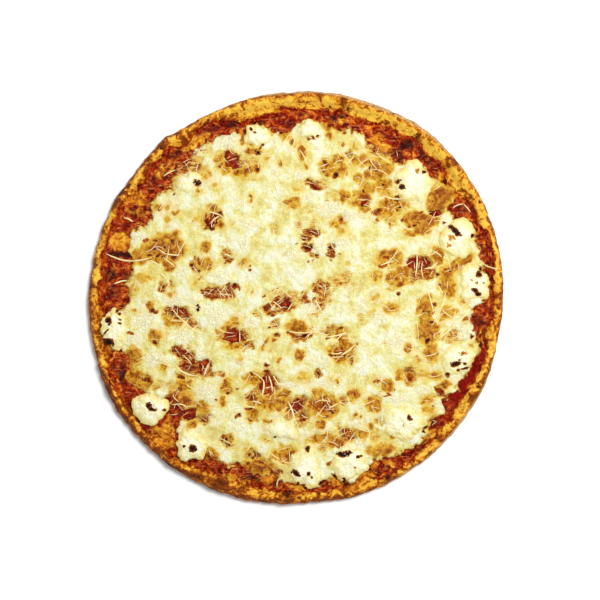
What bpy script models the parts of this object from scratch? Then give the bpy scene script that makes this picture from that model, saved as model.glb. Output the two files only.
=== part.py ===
"""Four cheese pizza, whole and uncut, for Blender 4.5 (metres, +Z up).

A thin round base of baked dough with a low uneven rim carries a layer of tomato sauce, a sheet of
melted cheese with gaps through it and grated shreds on it, and dollops of soft white cheese that
sit in the sheet. Everything is placed about the middle of the dough, as seen from above: +X to the
right, +Y away from the eater, and angles in degrees from +X towards +Y.
"""

import math
import random

import bmesh
import bpy
from mathutils import Vector, noise

MM = 0.001

# Outline of the dough: mean radius, then (lobes round the edge, swing, angle of the first peak).
DOUGH_RADIUS = 151.8 * MM
DOUGH_LOBES = (
    (1, 1.3 * MM, 113),
    (2, 1.9 * MM, 40),
    (3, 0.6 * MM, 70),
    (4, 0.7 * MM, 45),
    (9, 0.35 * MM, 12),
    (14, 0.3 * MM, 3),
)
# Blisters baked up on the rim: (angle, how far out, how far up, spread in degrees).
BLISTERS = (
    (130, 1.6 * MM, 1.8 * MM, 2.2),
    (150, 1.6 * MM, 1.6 * MM, 2.6),
    (200, 0.6 * MM, 1.2 * MM, 2.5),
    (206, 0.4 * MM, 1.4 * MM, 3.0),
    (232, 0.5 * MM, 1.5 * MM, 3.0),
    (247, 0.3 * MM, 1.5 * MM, 3.5),
    (266, 0.2 * MM, 1.4 * MM, 3.0),
    (297, 0.2 * MM, 1.0 * MM, 2.0),
    (40, 0.2 * MM, 1.0 * MM, 3.0),
    (76, 0.2 * MM, 1.0 * MM, 3.5),
)

# Section through the dough at the rim, from the underside up, over the crest and down to the floor:
# (distance in from the edge, height). Heights between FLOOR and CREST rise and fall with the rim.
FLOOR_HEIGHT = 4.5 * MM
CREST_HEIGHT = 9.4 * MM
CREST_SWING = 0.9 * MM
RIM_SECTION = (
    (2.6 * MM, 0.0),
    (0.9 * MM, 0.7 * MM),
    (0.1 * MM, 2.4 * MM),
    (0.2 * MM, 4.4 * MM),
    (1.2 * MM, 6.9 * MM),
    (2.9 * MM, 8.7 * MM),
    (5.0 * MM, CREST_HEIGHT),
    (7.0 * MM, 8.5 * MM),
    (8.9 * MM, 6.6 * MM),
    (10.8 * MM, 4.9 * MM),
    (13.0 * MM, FLOOR_HEIGHT),
)
RIM_SEGMENTS = 128

# Sauce: a thin layer on the floor that climbs the inside of the rim a little.
LAYER_GAP = 0.3 * MM
SAUCE_BOTTOM = FLOOR_HEIGHT + LAYER_GAP
SAUCE_TOP = 6.1 * MM
SAUCE_INSET = 9.0 * MM
SAUCE_SEGMENTS = 96
# Section through the edge of the sauce: (distance in from its edge, height).
SAUCE_SECTION = (
    (4.6 * MM, SAUCE_BOTTOM),
    (0.9 * MM, 6.9 * MM),
    (1.3 * MM, 7.3 * MM),
    (2.6 * MM, 6.9 * MM),
    (4.4 * MM, SAUCE_TOP),
)
# Where bare dough reaches into the sauce: (angle, depth, spread in degrees).
SAUCE_BITES = ((103, 5.0 * MM, 5.0), (35, 3.5 * MM, 3.0), (290, 3.0 * MM, 4.0))

# Melted cheese: a sheet with a flat underside and a swelling top.
CHEESE_BOTTOM = SAUCE_TOP + 0.4 * MM
CHEESE_THICKNESS = 2.4 * MM
CHEESE_EDGE_THICKNESS = 0.9 * MM
CHEESE_INSET = 16.0 * MM
CHEESE_RINGS = 21
SWELL_LONG, SWELL_LONG_HEIGHT = 30 * MM, 0.9 * MM
SWELL_SHORT, SWELL_SHORT_HEIGHT = 14 * MM, 0.5 * MM
# Where the sauce shows past the edge of the sheet: (angle, depth, spread in degrees).
CHEESE_BITES = (
    (28, 11 * MM, 4.5),
    (54, 11 * MM, 4.0),
    (62, 7 * MM, 4.0),
    (96, 11 * MM, 4.0),
    (137, 8 * MM, 8.0),
    (152, 11 * MM, 4.0),
    (175, 11 * MM, 7.0),
    (204, 7 * MM, 4.0),
    (225, 11 * MM, 4.0),
    (247, 4 * MM, 5.0),
    (258, 4 * MM, 4.0),
    (297, 11 * MM, 4.5),
    (354, 11 * MM, 4.0),
)
# Gaps through the sheet: (x, y, half length, half width, heading).
GAPS = (
    (-46 * MM, 102 * MM, 9.0 * MM, 4.8 * MM, -58),
    (-61 * MM, 60 * MM, 7.0 * MM, 6.0 * MM, 60),
    (-88 * MM, -11 * MM, 10.0 * MM, 6.0 * MM, -15),
    (-60 * MM, 5 * MM, 7.5 * MM, 3.6 * MM, 15),
    (-47 * MM, -27 * MM, 9.5 * MM, 5.5 * MM, -30),
    (-10 * MM, -3 * MM, 7.5 * MM, 4.8 * MM, -20),
    (1 * MM, -24 * MM, 7.0 * MM, 4.5 * MM, -15),
    (30 * MM, -37 * MM, 9.5 * MM, 5.0 * MM, 15),
    (-83 * MM, -43 * MM, 9.0 * MM, 5.5 * MM, -35),
    (-80 * MM, -82 * MM, 13.0 * MM, 5.2 * MM, -8),
    (-22 * MM, -64 * MM, 8.5 * MM, 7.5 * MM, 80),
    (0 * MM, -79 * MM, 7.5 * MM, 5.0 * MM, 60),
    (92 * MM, 26 * MM, 9.5 * MM, 5.2 * MM, 5),
    (68 * MM, 66 * MM, 8.0 * MM, 4.5 * MM, 25),
    (47 * MM, 73 * MM, 7.5 * MM, 4.0 * MM, 100),
    (82 * MM, -54 * MM, 5.5 * MM, 4.6 * MM, 90),
    (-7 * MM, -113 * MM, 7.5 * MM, 5.0 * MM, 20),
)
GAP_SIDES = 14

# Dollops of soft white cheese: (x, y, half length, half width, heading, height over the sheet).
DOLLOPS = (
    (85 * MM, 87 * MM, 16.5 * MM, 13.6 * MM, 100, 3.4 * MM),
    (117 * MM, 46 * MM, 14.5 * MM, 12.0 * MM, 75, 3.0 * MM),
    (127 * MM, 11 * MM, 13.5 * MM, 10.5 * MM, 100, 3.2 * MM),
    (116 * MM, -43 * MM, 12.5 * MM, 10.5 * MM, 20, 3.0 * MM),
    (77 * MM, -89 * MM, 16.5 * MM, 12.0 * MM, -15, 3.6 * MM),
    (38 * MM, -118 * MM, 13.5 * MM, 11.5 * MM, 20, 3.0 * MM),
    (6 * MM, -122 * MM, 14.5 * MM, 11.5 * MM, 95, 3.3 * MM),
    (-78 * MM, -106 * MM, 12.0 * MM, 10.0 * MM, 100, 3.2 * MM),
    (-107 * MM, -78 * MM, 12.0 * MM, 10.8 * MM, 10, 3.8 * MM),
    (-132 * MM, -21 * MM, 14.5 * MM, 9.5 * MM, 95, 3.2 * MM),
    (-29 * MM, 120 * MM, 10.0 * MM, 7.5 * MM, -20, 2.6 * MM),
    (9 * MM, 124 * MM, 8.5 * MM, 7.0 * MM, 0, 2.8 * MM),
    (-79 * MM, 85 * MM, 9.5 * MM, 7.0 * MM, 20, 2.4 * MM),
    (-12 * MM, -94 * MM, 12.5 * MM, 7.0 * MM, -15, 2.6 * MM),
)
DOLLOP_SIDES = 18
DOLLOP_SQUARENESS = 2.3
DOLLOP_RIM_CLEARANCE = 8.6 * MM
POCKET_CLEARANCE = 0.5 * MM
# Section of a dollop above its foot: (share of its outline, share of its height).
DOLLOP_SECTION = ((0.99, 0.0), (0.88, 0.55), (0.62, 0.88), (0.28, 1.0))
DOLLOP_LUMPS = 0.5 * MM

# Grated shreds on the sheet: (x and y of one end, x and y of the other, bow to the left).
SHREDS = (
    (-132, 30, -107, 31, -2.5),
    (-98, 31, -88, 23, 0.6),
    (-103, 38, -85, 33, -2.2),
    (-108, 28, -99, 22, 0.8),
    (-105, 20, -93, 10, 1.6),
    (-119, 16, -112, 10, -0.6),
    (-91, -5, -71, -24, -1.2),
    (-66, 65, -53, 60, 1.4),
    (-90, -49, -75, -55, -2.2),
    (-65, -46, -69, -56, 0.4),
    (-92, -75, -78, -79, 2.2),
    (-19, 0, -10, -8, 0.3),
    (-36, -53, -26, -71, 5.0),
    (-18, -55, -13, -61, 0.5),
    (-7, -72, -1, -90, 0.8),
    (20, -41, 42, -32, -2.0),
    (18, -29, 36, -23, 0.8),
    (-8, -22, 12, -23, -1.8),
    (86, 35, 87, 17, -1.4),
    (61, 25, 72, 28, 0.6),
    (93, 7, 99, -10, 0.8),
    (108, 5, 101, -13, 1.2),
    (127, -6, 103, -28, 1.2),
    (60, 75, 66, 76, 0.4),
    (-7, 112, 2, 97, -1.0),
    (30, 107, 40, 96, 1.0),
    (-14, 4, -24, 2, 0.8),
    (14, 4, 20, -11, 1.0),
)
SHRED_WIDTH = 1.5 * MM
SHRED_HEIGHT = 1.0 * MM
SHRED_SUNK = 0.4 * MM
SHRED_STATION = 5.0 * MM
SHRED_SEED = 4


def clear_scene():
    for obj in list(bpy.data.objects):
        bpy.data.objects.remove(obj)


def finish_material(name, colour, roughness):
    material = bpy.data.materials.new(name)
    material.use_nodes = True
    shader = material.node_tree.nodes["Principled BSDF"]
    shader.inputs["Base Color"].default_value = (*colour, 1.0)
    shader.inputs["Roughness"].default_value = roughness
    shader.inputs["Metallic"].default_value = 0.0
    return material


def degrees_apart(angle, other):
    return (angle - other + 180) % 360 - 180


def bumps(angle, table):
    """Sum of rounded bumps round the pizza, from rows of (angle, height, spread)."""
    return sum(
        height * math.exp(-((degrees_apart(angle, at) / spread) ** 2))
        for at, height, spread in table
    )


def dough_edge(angle):
    lobes = sum(
        swing * math.cos(math.radians(count * (angle - peak)))
        for count, swing, peak in DOUGH_LOBES
    )
    blisters = bumps(angle, [(at, out, spread) for at, out, _, spread in BLISTERS])
    return DOUGH_RADIUS + lobes + blisters


def rim_rise(angle):
    """How much higher or lower than the section the crest is baked at this angle."""
    around = 14 * Vector((math.cos(math.radians(angle)), math.sin(math.radians(angle)), 0.3))
    blisters = bumps(angle, [(at, up, spread) for at, _, up, spread in BLISTERS])
    return CREST_SWING * noise.noise(around) + blisters


def sauce_edge(angle):
    waver = 0.6 * MM * math.sin(math.radians(11 * angle)) - 0.6 * MM
    return dough_edge(angle) - SAUCE_INSET + waver - bumps(angle, SAUCE_BITES)


def flat_edge(angle):
    """How far out the flat of the sauce reaches, before it climbs the rim."""
    return sauce_edge(angle) - SAUCE_SECTION[-1][0] - 2 * LAYER_GAP


def cheese_edge(angle):
    waver = 1.2 * MM * math.sin(math.radians(17 * angle + 40))
    spread = dough_edge(angle) - CHEESE_INSET + waver - bumps(angle, CHEESE_BITES)
    return min(spread, flat_edge(angle))


def swell(x, y):
    """Rise and fall of the melted cheese."""
    long_waves = noise.noise(Vector((x / SWELL_LONG, y / SWELL_LONG, 2.0)))
    short_waves = noise.noise(Vector((x / SWELL_SHORT, y / SWELL_SHORT, 5.0)))
    return SWELL_LONG_HEIGHT * long_waves + SWELL_SHORT_HEIGHT * short_waves


def cheese_top(x, y):
    return CHEESE_BOTTOM + CHEESE_THICKNESS + swell(x, y)


def point_at(angle, radius, height):
    turn = math.radians(angle)
    return Vector((radius * math.cos(turn), radius * math.sin(turn), height))


def add_object(name, bm, material, collection=None):
    """Closes the bmesh into an object, with its round faces shaded smooth."""
    bmesh.ops.recalc_face_normals(bm, faces=bm.faces)
    mesh = bpy.data.meshes.new(name)
    bm.to_mesh(mesh)
    bm.free()
    mesh.materials.append(material)
    mesh.shade_smooth()
    mesh.set_sharp_from_angle(angle=math.radians(50))
    obj = bpy.data.objects.new(name, mesh)
    (collection or bpy.context.scene.collection).objects.link(obj)
    return obj


def loft(name, rings, material, collection=None):
    """A closed solid through rings of points, with a flat or lumpy cap on the first and last."""
    bm = bmesh.new()
    loops = [[bm.verts.new(point) for point in ring] for ring in rings]
    for lower, upper in zip(loops, loops[1:]):
        count = len(lower)
        for i in range(count):
            j = (i + 1) % count
            bm.faces.new((lower[i], lower[j], upper[j], upper[i]))
    bm.faces.new(reversed(loops[0]))
    bm.faces.new(loops[-1])
    return add_object(name, bm, material, collection)


def build_crust(material):
    rings = []
    for inset, height in RIM_SECTION:
        share = max(0.0, (height - FLOOR_HEIGHT) / (CREST_HEIGHT - FLOOR_HEIGHT))
        ring = []
        for i in range(RIM_SEGMENTS):
            angle = 360 * i / RIM_SEGMENTS
            radius = dough_edge(angle) - inset
            ring.append(point_at(angle, radius, height + share * rim_rise(angle)))
        rings.append(ring)
    return loft("crust", rings, material)


def build_sauce(material):
    angles = [360 * i / SAUCE_SEGMENTS for i in range(SAUCE_SEGMENTS)]
    rings = [
        [point_at(angle, sauce_edge(angle) - inset, height) for angle in angles]
        for inset, height in SAUCE_SECTION
    ]
    return loft("tomato_sauce", rings, material)


def blob_outline(x, y, half_length, half_width, heading, sides, grow=0.0, squareness=2.0):
    """Points of an uneven oval, anticlockwise."""
    turn = math.radians(heading)
    points = []
    for i in range(sides):
        phi = 2 * math.pi * i / sides
        across = abs(math.cos(phi) / half_length) ** squareness
        along = abs(math.sin(phi) / half_width) ** squareness
        uneven = 1 + 0.07 * math.sin(3 * phi + 400 * x) + 0.05 * math.sin(5 * phi + 700 * y)
        radius = uneven * (across + along) ** (-1 / squareness) + grow
        points.append(
            Vector((x + radius * math.cos(phi + turn), y + radius * math.sin(phi + turn), 0))
        )
    return points


def cheese_disc(material):
    """The sheet before it is cut. Ring k of its top holds 6k points, so its triangles stay even."""
    bm = bmesh.new()
    rings = [[bm.verts.new((0, 0, cheese_top(0, 0)))]]
    for k in range(1, CHEESE_RINGS + 1):
        ring = []
        for i in range(6 * k):
            angle = 60 * i / k
            radius = cheese_edge(angle) * k / CHEESE_RINGS
            point = point_at(angle, radius, 0)
            point.z = cheese_top(point.x, point.y)
            if k == CHEESE_RINGS:
                point.z = CHEESE_BOTTOM + CHEESE_EDGE_THICKNESS
            ring.append(bm.verts.new(point))
        rings.append(ring)
    for k in range(CHEESE_RINGS):
        inner, outer = rings[k], rings[k + 1]
        for side in range(6):
            for i in range(k + 1):
                a = inner[(side * k + i) % len(inner)]
                b, c = (outer[(side * (k + 1) + i + step) % len(outer)] for step in (0, 1))
                bm.faces.new((a, b, c))
                if i < k:
                    bm.faces.new((a, c, inner[(side * k + i + 1) % len(inner)]))
    foot = [bm.verts.new((v.co.x, v.co.y, CHEESE_BOTTOM)) for v in rings[-1]]
    count = len(foot)
    for i in range(count):
        j = (i + 1) % count
        bm.faces.new((foot[i], foot[j], rings[-1][j], rings[-1][i]))
    bm.faces.new(reversed(foot))
    return add_object("melted_cheese", bm, material)


def add_cutter(name, outline, material, collection):
    """A tall prism that cuts this outline through the sheet."""
    low, high = SAUCE_TOP - 2 * MM, CHEESE_BOTTOM + 8 * MM
    rings = [[Vector((p.x, p.y, height)) for p in outline] for height in (low, high)]
    cutter = loft(name, rings, material, collection)
    cutter.hide_render = True
    cutter.display_type = "WIRE"


def add_shred(name, row, rng, material, collection):
    """A bowed strip that follows the top of the sheet, thinner at its ends."""
    start = Vector((row[0] * MM, row[1] * MM))
    end = Vector((row[2] * MM, row[3] * MM))
    along = end - start
    left = Vector((-along.y, along.x)).normalized()
    stations = max(3, round(along.length / SHRED_STATION)) + 1
    width = SHRED_WIDTH * rng.uniform(0.85, 1.15)
    rings = []
    for i in range(stations):
        share = i / (stations - 1)
        bow = 4 * row[4] * MM * share * (1 - share)
        centre = start + along * share + left * bow
        half = 0.5 * width * (1 - 0.45 * abs(2 * share - 1) ** 3)
        low = cheese_top(centre.x, centre.y) - SHRED_SUNK
        section = ((-1, 0), (1, 0), (0.6, SHRED_HEIGHT), (-0.6, SHRED_HEIGHT))
        rings.append(
            [
                Vector((*(centre + left * half * side), low + up))
                for side, up in section
            ]
        )
    loft(name, rings, material, collection)


def apply_boolean(obj, operation, collection):
    """Cuts or joins the whole collection in one Boolean, applies it and removes the helpers."""
    modifier = obj.modifiers.new(operation.lower(), "BOOLEAN")
    modifier.operation = operation
    modifier.operand_type = "COLLECTION"
    modifier.collection = collection
    modifier.solver = "EXACT"
    graph = bpy.context.evaluated_depsgraph_get()
    mesh = bpy.data.meshes.new_from_object(obj.evaluated_get(graph))
    obj.modifiers.clear()
    obj.data = mesh
    for helper in list(collection.objects):
        bpy.data.objects.remove(helper)
    bpy.data.collections.remove(collection)


def helper_collection(name):
    collection = bpy.data.collections.new(name)
    bpy.context.scene.collection.children.link(collection)
    return collection


def build_cheese(material):
    sheet = cheese_disc(material)
    cutters = helper_collection("cutters")
    for number, (x, y, half_length, half_width, heading) in enumerate(GAPS):
        outline = blob_outline(x, y, half_length, half_width, heading, GAP_SIDES)
        add_cutter(f"gap_{number}", outline, material, cutters)
    for number, row in enumerate(DOLLOPS):
        outline = dollop_outline(row, POCKET_CLEARANCE)
        add_cutter(f"pocket_{number}", outline, material, cutters)
    apply_boolean(sheet, "DIFFERENCE", cutters)
    shreds = helper_collection("shreds")
    rng = random.Random(SHRED_SEED)
    for number, row in enumerate(SHREDS):
        add_shred(f"shred_{number}", row, rng, material, shreds)
    apply_boolean(sheet, "UNION", shreds)
    return sheet


def dollop_outline(row, grow=0.0):
    x, y, half_length, half_width, heading, _ = row
    return blob_outline(
        x, y, half_length, half_width, heading, DOLLOP_SIDES, grow, DOLLOP_SQUARENESS
    )


def held_within(points, edge):
    """Points beyond this edge of the pizza brought in to it."""
    angles = [math.degrees(math.atan2(point.y, point.x)) for point in points]
    return [
        point * min(1.0, edge(angle) / point.length)
        for point, angle in zip(points, angles)
    ]


def rim_side(angle):
    """How far out a dollop may hang over the slope of the rim."""
    return dough_edge(angle) - DOLLOP_RIM_CLEARANCE


def build_dollop(number, row, material):
    centre = Vector((row[0], row[1], 0))
    outline = dollop_outline(row)
    shoulder = CHEESE_BOTTOM + CHEESE_THICKNESS
    foot = held_within(outline, flat_edge)
    rings = [[Vector((p.x, p.y, SAUCE_TOP + LAYER_GAP)) for p in foot]]
    for share, rise in DOLLOP_SECTION:
        ring = []
        for point in held_within(outline, rim_side):
            place = centre + (point - centre) * share
            lump = DOLLOP_LUMPS * rise * noise.noise(place * 120)
            ring.append(Vector((place.x, place.y, shoulder + rise * row[5] + lump)))
        rings.append(ring)
    return loft(f"soft_cheese_{number:02d}", rings, material)


def centre_on_origin(pieces):
    """Hangs every piece on one empty, moved so that the dough's box is centred on the origin."""
    corners = [Vector(corner) for corner in pieces[0].bound_box]
    low = Vector(map(min, *corners))
    high = Vector(map(max, *corners))
    middle = (low + high) / 2
    holder = bpy.data.objects.new("pizza", None)
    bpy.context.scene.collection.objects.link(holder)
    holder.location = (-middle.x, -middle.y, 0)
    for piece in pieces:
        piece.parent = holder


def main():
    clear_scene()
    dough = finish_material("baked_dough", (0.62, 0.36, 0.12), 0.7)
    sauce = finish_material("tomato_sauce", (0.30, 0.03, 0.01), 0.35)
    melted = finish_material("melted_cheese", (0.90, 0.75, 0.33), 0.35)
    soft = finish_material("soft_cheese", (0.95, 0.91, 0.72), 0.5)
    pieces = [build_crust(dough), build_sauce(sauce), build_cheese(melted)]
    for number, row in enumerate(DOLLOPS, start=1):
        pieces.append(build_dollop(number, row, soft))
    centre_on_origin(pieces)


main()
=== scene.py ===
"""Four cheese pizza: baked dough, tomato sauce, melted cheese, soft white cheese and grated shreds.

Laid out as an add-on with one operator for each kind of piece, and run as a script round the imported
frame. Tables, outlines and heights are in millimetres about the middle of the dough as it was laid
out; make_piece() turns them into metres about the middle of the dough's box. Angles are in degrees
from +X towards +Y.
"""

import math
import random

import bmesh
import bpy
import numpy as np
from bpy.props import FloatProperty, FloatVectorProperty, IntProperty, PointerProperty
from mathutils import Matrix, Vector, noise
from mathutils.bvhtree import BVHTree


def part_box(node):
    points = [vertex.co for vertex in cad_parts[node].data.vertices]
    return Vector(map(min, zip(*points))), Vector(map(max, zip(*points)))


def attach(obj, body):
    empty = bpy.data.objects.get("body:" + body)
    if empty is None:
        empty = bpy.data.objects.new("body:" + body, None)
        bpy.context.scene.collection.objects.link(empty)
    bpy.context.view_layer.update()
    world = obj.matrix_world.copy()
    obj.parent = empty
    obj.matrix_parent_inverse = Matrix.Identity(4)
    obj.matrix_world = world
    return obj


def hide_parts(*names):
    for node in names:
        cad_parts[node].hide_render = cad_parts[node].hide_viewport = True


bl_info = {
    "name": "Four cheese pizza",
    "version": (1, 0, 0),
    "blender": (4, 5, 0),
    "location": "3D View > Sidebar > Pizza",
    "description": "Dresses a thin round pizza with sauce, melted cheese and dollops of soft cheese",
    "category": "Object",
}

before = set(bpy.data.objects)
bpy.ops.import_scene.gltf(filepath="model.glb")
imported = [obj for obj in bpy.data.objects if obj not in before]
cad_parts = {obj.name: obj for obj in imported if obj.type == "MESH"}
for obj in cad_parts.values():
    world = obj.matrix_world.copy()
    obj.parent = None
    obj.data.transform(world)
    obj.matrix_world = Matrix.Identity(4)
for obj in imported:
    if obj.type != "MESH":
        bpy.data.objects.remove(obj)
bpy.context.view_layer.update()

MM = 0.001


# --- Dough: the same outline and section as the frame's crust -------------------------------------

DOUGH_RADIUS = 151.8
# Lobes round the edge: (how many, swing, angle of the first peak).
DOUGH_LOBES = (
    (1, 1.3, 113), (2, 1.9, 40), (3, 0.6, 70), (4, 0.7, 45), (9, 0.35, 12), (14, 0.3, 3),
)
# Blisters on the rim: (angle, how far out, how far up, spread in degrees).
BLISTERS = (
    (130, 1.6, 1.8, 2.2), (150, 1.6, 1.6, 2.6), (200, 0.6, 1.2, 2.5), (206, 0.4, 1.4, 3.0),
    (232, 0.5, 1.5, 3.0), (247, 0.3, 1.5, 3.5), (266, 0.2, 1.4, 3.0), (297, 0.2, 1.0, 2.0),
    (40, 0.2, 1.0, 3.0), (76, 0.2, 1.0, 3.5),
)
FLOOR_HEIGHT = 4.5
CREST_HEIGHT = 9.4
CREST_SWING = 0.9
# Section of the rim, from the underside up, over the crest and down to the floor:
# (distance in from the edge, height).
RIM_SECTION = (
    (2.6, 0.0), (0.9, 0.7), (0.1, 2.4), (0.2, 4.4), (1.2, 6.9), (2.9, 8.7), (5.0, CREST_HEIGHT), (7.0, 8.5),
    (8.9, 6.6), (10.8, 4.9), (13.0, FLOOR_HEIGHT),
)
CREST_INSET = 5.0
# Steps of the crust's mesh round the rim and along its section.
RIM_STEPS = 1000
SECTION_STEPS = 78
# Sizes of the blistered and the gritty relief.
CRAG_SIZE = 6.0
GRIT_SIZE = 1.7

# --- Sauce ----------------------------------------------------------------------------------------

SAUCE_TOP = 6.1
SAUCE_BOTTOM = FLOOR_HEIGHT - 0.6
# Cell of the sauce's mesh, and how thin the sauce lies where it runs up the rim.
SAUCE_CELL = 0.9
SAUCE_FILM = 0.45
# How far in from the edge of the dough the sauce stops, as rows of (angle, distance).
SAUCE_REACH = (
    (0, 7), (6, 7.5), (12, 5.5), (17, 4), (20, 5), (24, 10), (27, 7.5), (31, 10), (34, 14), (37, 16),
    (40, 11.5), (43, 10), (48, 12.5), (54, 9), (57, 13), (62, 11.5), (68, 13), (73, 13.5), (79, 10.5),
    (85, 14), (88, 12), (92, 12), (95, 10.5), (98, 14.5), (104, 16.5), (107, 16), (109, 11.5), (112, 8),
    (118, 5.5), (121, 5.5), (124, 10), (128, 11.5), (131, 5.5), (134, 10), (138, 4), (142, 9), (145, 8),
    (148, 13.5), (151, 5), (159, 5.5), (166, 5.5), (172, 7.5), (178, 7), (184, 10), (190, 9.5), (197, 8.5),
    (203, 5.5), (210, 8), (216, 9.5), (220, 7), (226, 12.5), (230, 7.5), (236, 8.5), (243, 11), (250, 10.5),
    (257, 11), (266, 8.5), (275, 7), (281, 8), (287, 11.5), (291, 11.5), (295, 5), (300, 6), (306, 6),
    (309, 9.5), (312, 7.5), (318, 9), (322, 7.5), (327, 9.5), (332, 9.5), (338, 8), (344, 5.5), (347, 7),
    (349, 13), (352, 9), (355, 5.5),
)
# Where the sauce lies smooth and wet: (angle, how much, spread in degrees).
SAUCE_GLOSS = ((-25, 1.5, 11), (36, 0.6, 5))

# --- Melted cheese --------------------------------------------------------------------------------

# Cell of the sheet's mesh.
CHEESE_CELL = 0.8
# Underside and thickness of the frame's sheet, which the dollops rise from.
CHEESE_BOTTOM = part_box("melted_cheese")[0][2] / MM
CHEESE_THICKNESS = 2.4
SHEET_BOTTOM = SAUCE_TOP - 0.9
# How high the sheet's top lies over the sauce's: (share of its full thickness, height).
CHEESE_RISE = ((0, -0.8), (0.05, 0.3), (0.2, 1.0), (0.5, 2.0), (1.0, 3.0))
# Length and height of the sheet's long and short waves.
SWELL_LONG, SWELL_LONG_HEIGHT = 30, 0.9
SWELL_SHORT, SWELL_SHORT_HEIGHT = 14, 0.5
# How far out the sheet reaches, as rows of (angle, radius).
CHEESE_REACH = (
    (0, 135), (4, 139), (7, 140), (10, 139), (13, 138), (16, 140), (18, 139), (21, 141), (24, 134),
    (27, 130), (29, 129), (31, 129), (33, 136), (36, 140), (38, 137), (40, 134), (43, 134), (47, 133),
    (50, 131), (52, 127), (55, 122), (57, 128), (60, 127), (62, 125), (66, 127), (68, 131), (72, 130),
    (76, 128), (80, 128), (82, 130), (85, 131), (88, 133), (92, 125), (95, 121), (98, 124), (99, 128),
    (102, 131), (105, 131), (107, 127), (110, 130), (113, 133), (118, 132), (121, 133), (124, 132),
    (128, 132), (131, 136), (135, 132), (138, 129), (141, 127), (144, 129), (147, 128), (150, 123),
    (153, 124), (157, 131), (160, 130), (163, 130), (166, 126), (170, 125), (178, 123), (181, 126),
    (184, 133), (190, 132), (196, 134), (200, 131), (205, 137), (208, 135), (211, 129), (220, 124),
    (224, 119), (226, 126), (228, 131), (236, 132), (240, 134), (250, 131), (253, 129), (256, 131),
    (260, 131), (263, 130), (266, 136), (268, 132), (272, 137), (275, 138), (278, 133), (280, 136),
    (282, 133), (284, 138), (287, 141), (290, 136), (293, 130), (296, 129), (298, 132), (300, 134),
    (306, 135), (309, 138), (312, 138), (315, 137), (317, 134), (320, 133), (322, 137), (325, 131),
    (328, 132), (330, 134), (336, 134), (340, 135), (343, 136), (345, 138), (348, 136), (350, 133),
    (354, 127), (356, 128), (358, 131),
)
# Where its edge thins out slowly over the sauce: (angle, extra width, spread in degrees).
CHEESE_VEILS = ((22, 6, 5), (41, 4, 4), (62, 7, 6), (133, 13, 8), (181, 6, 6), (207, 7, 8), (252, 5, 8))

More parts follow.
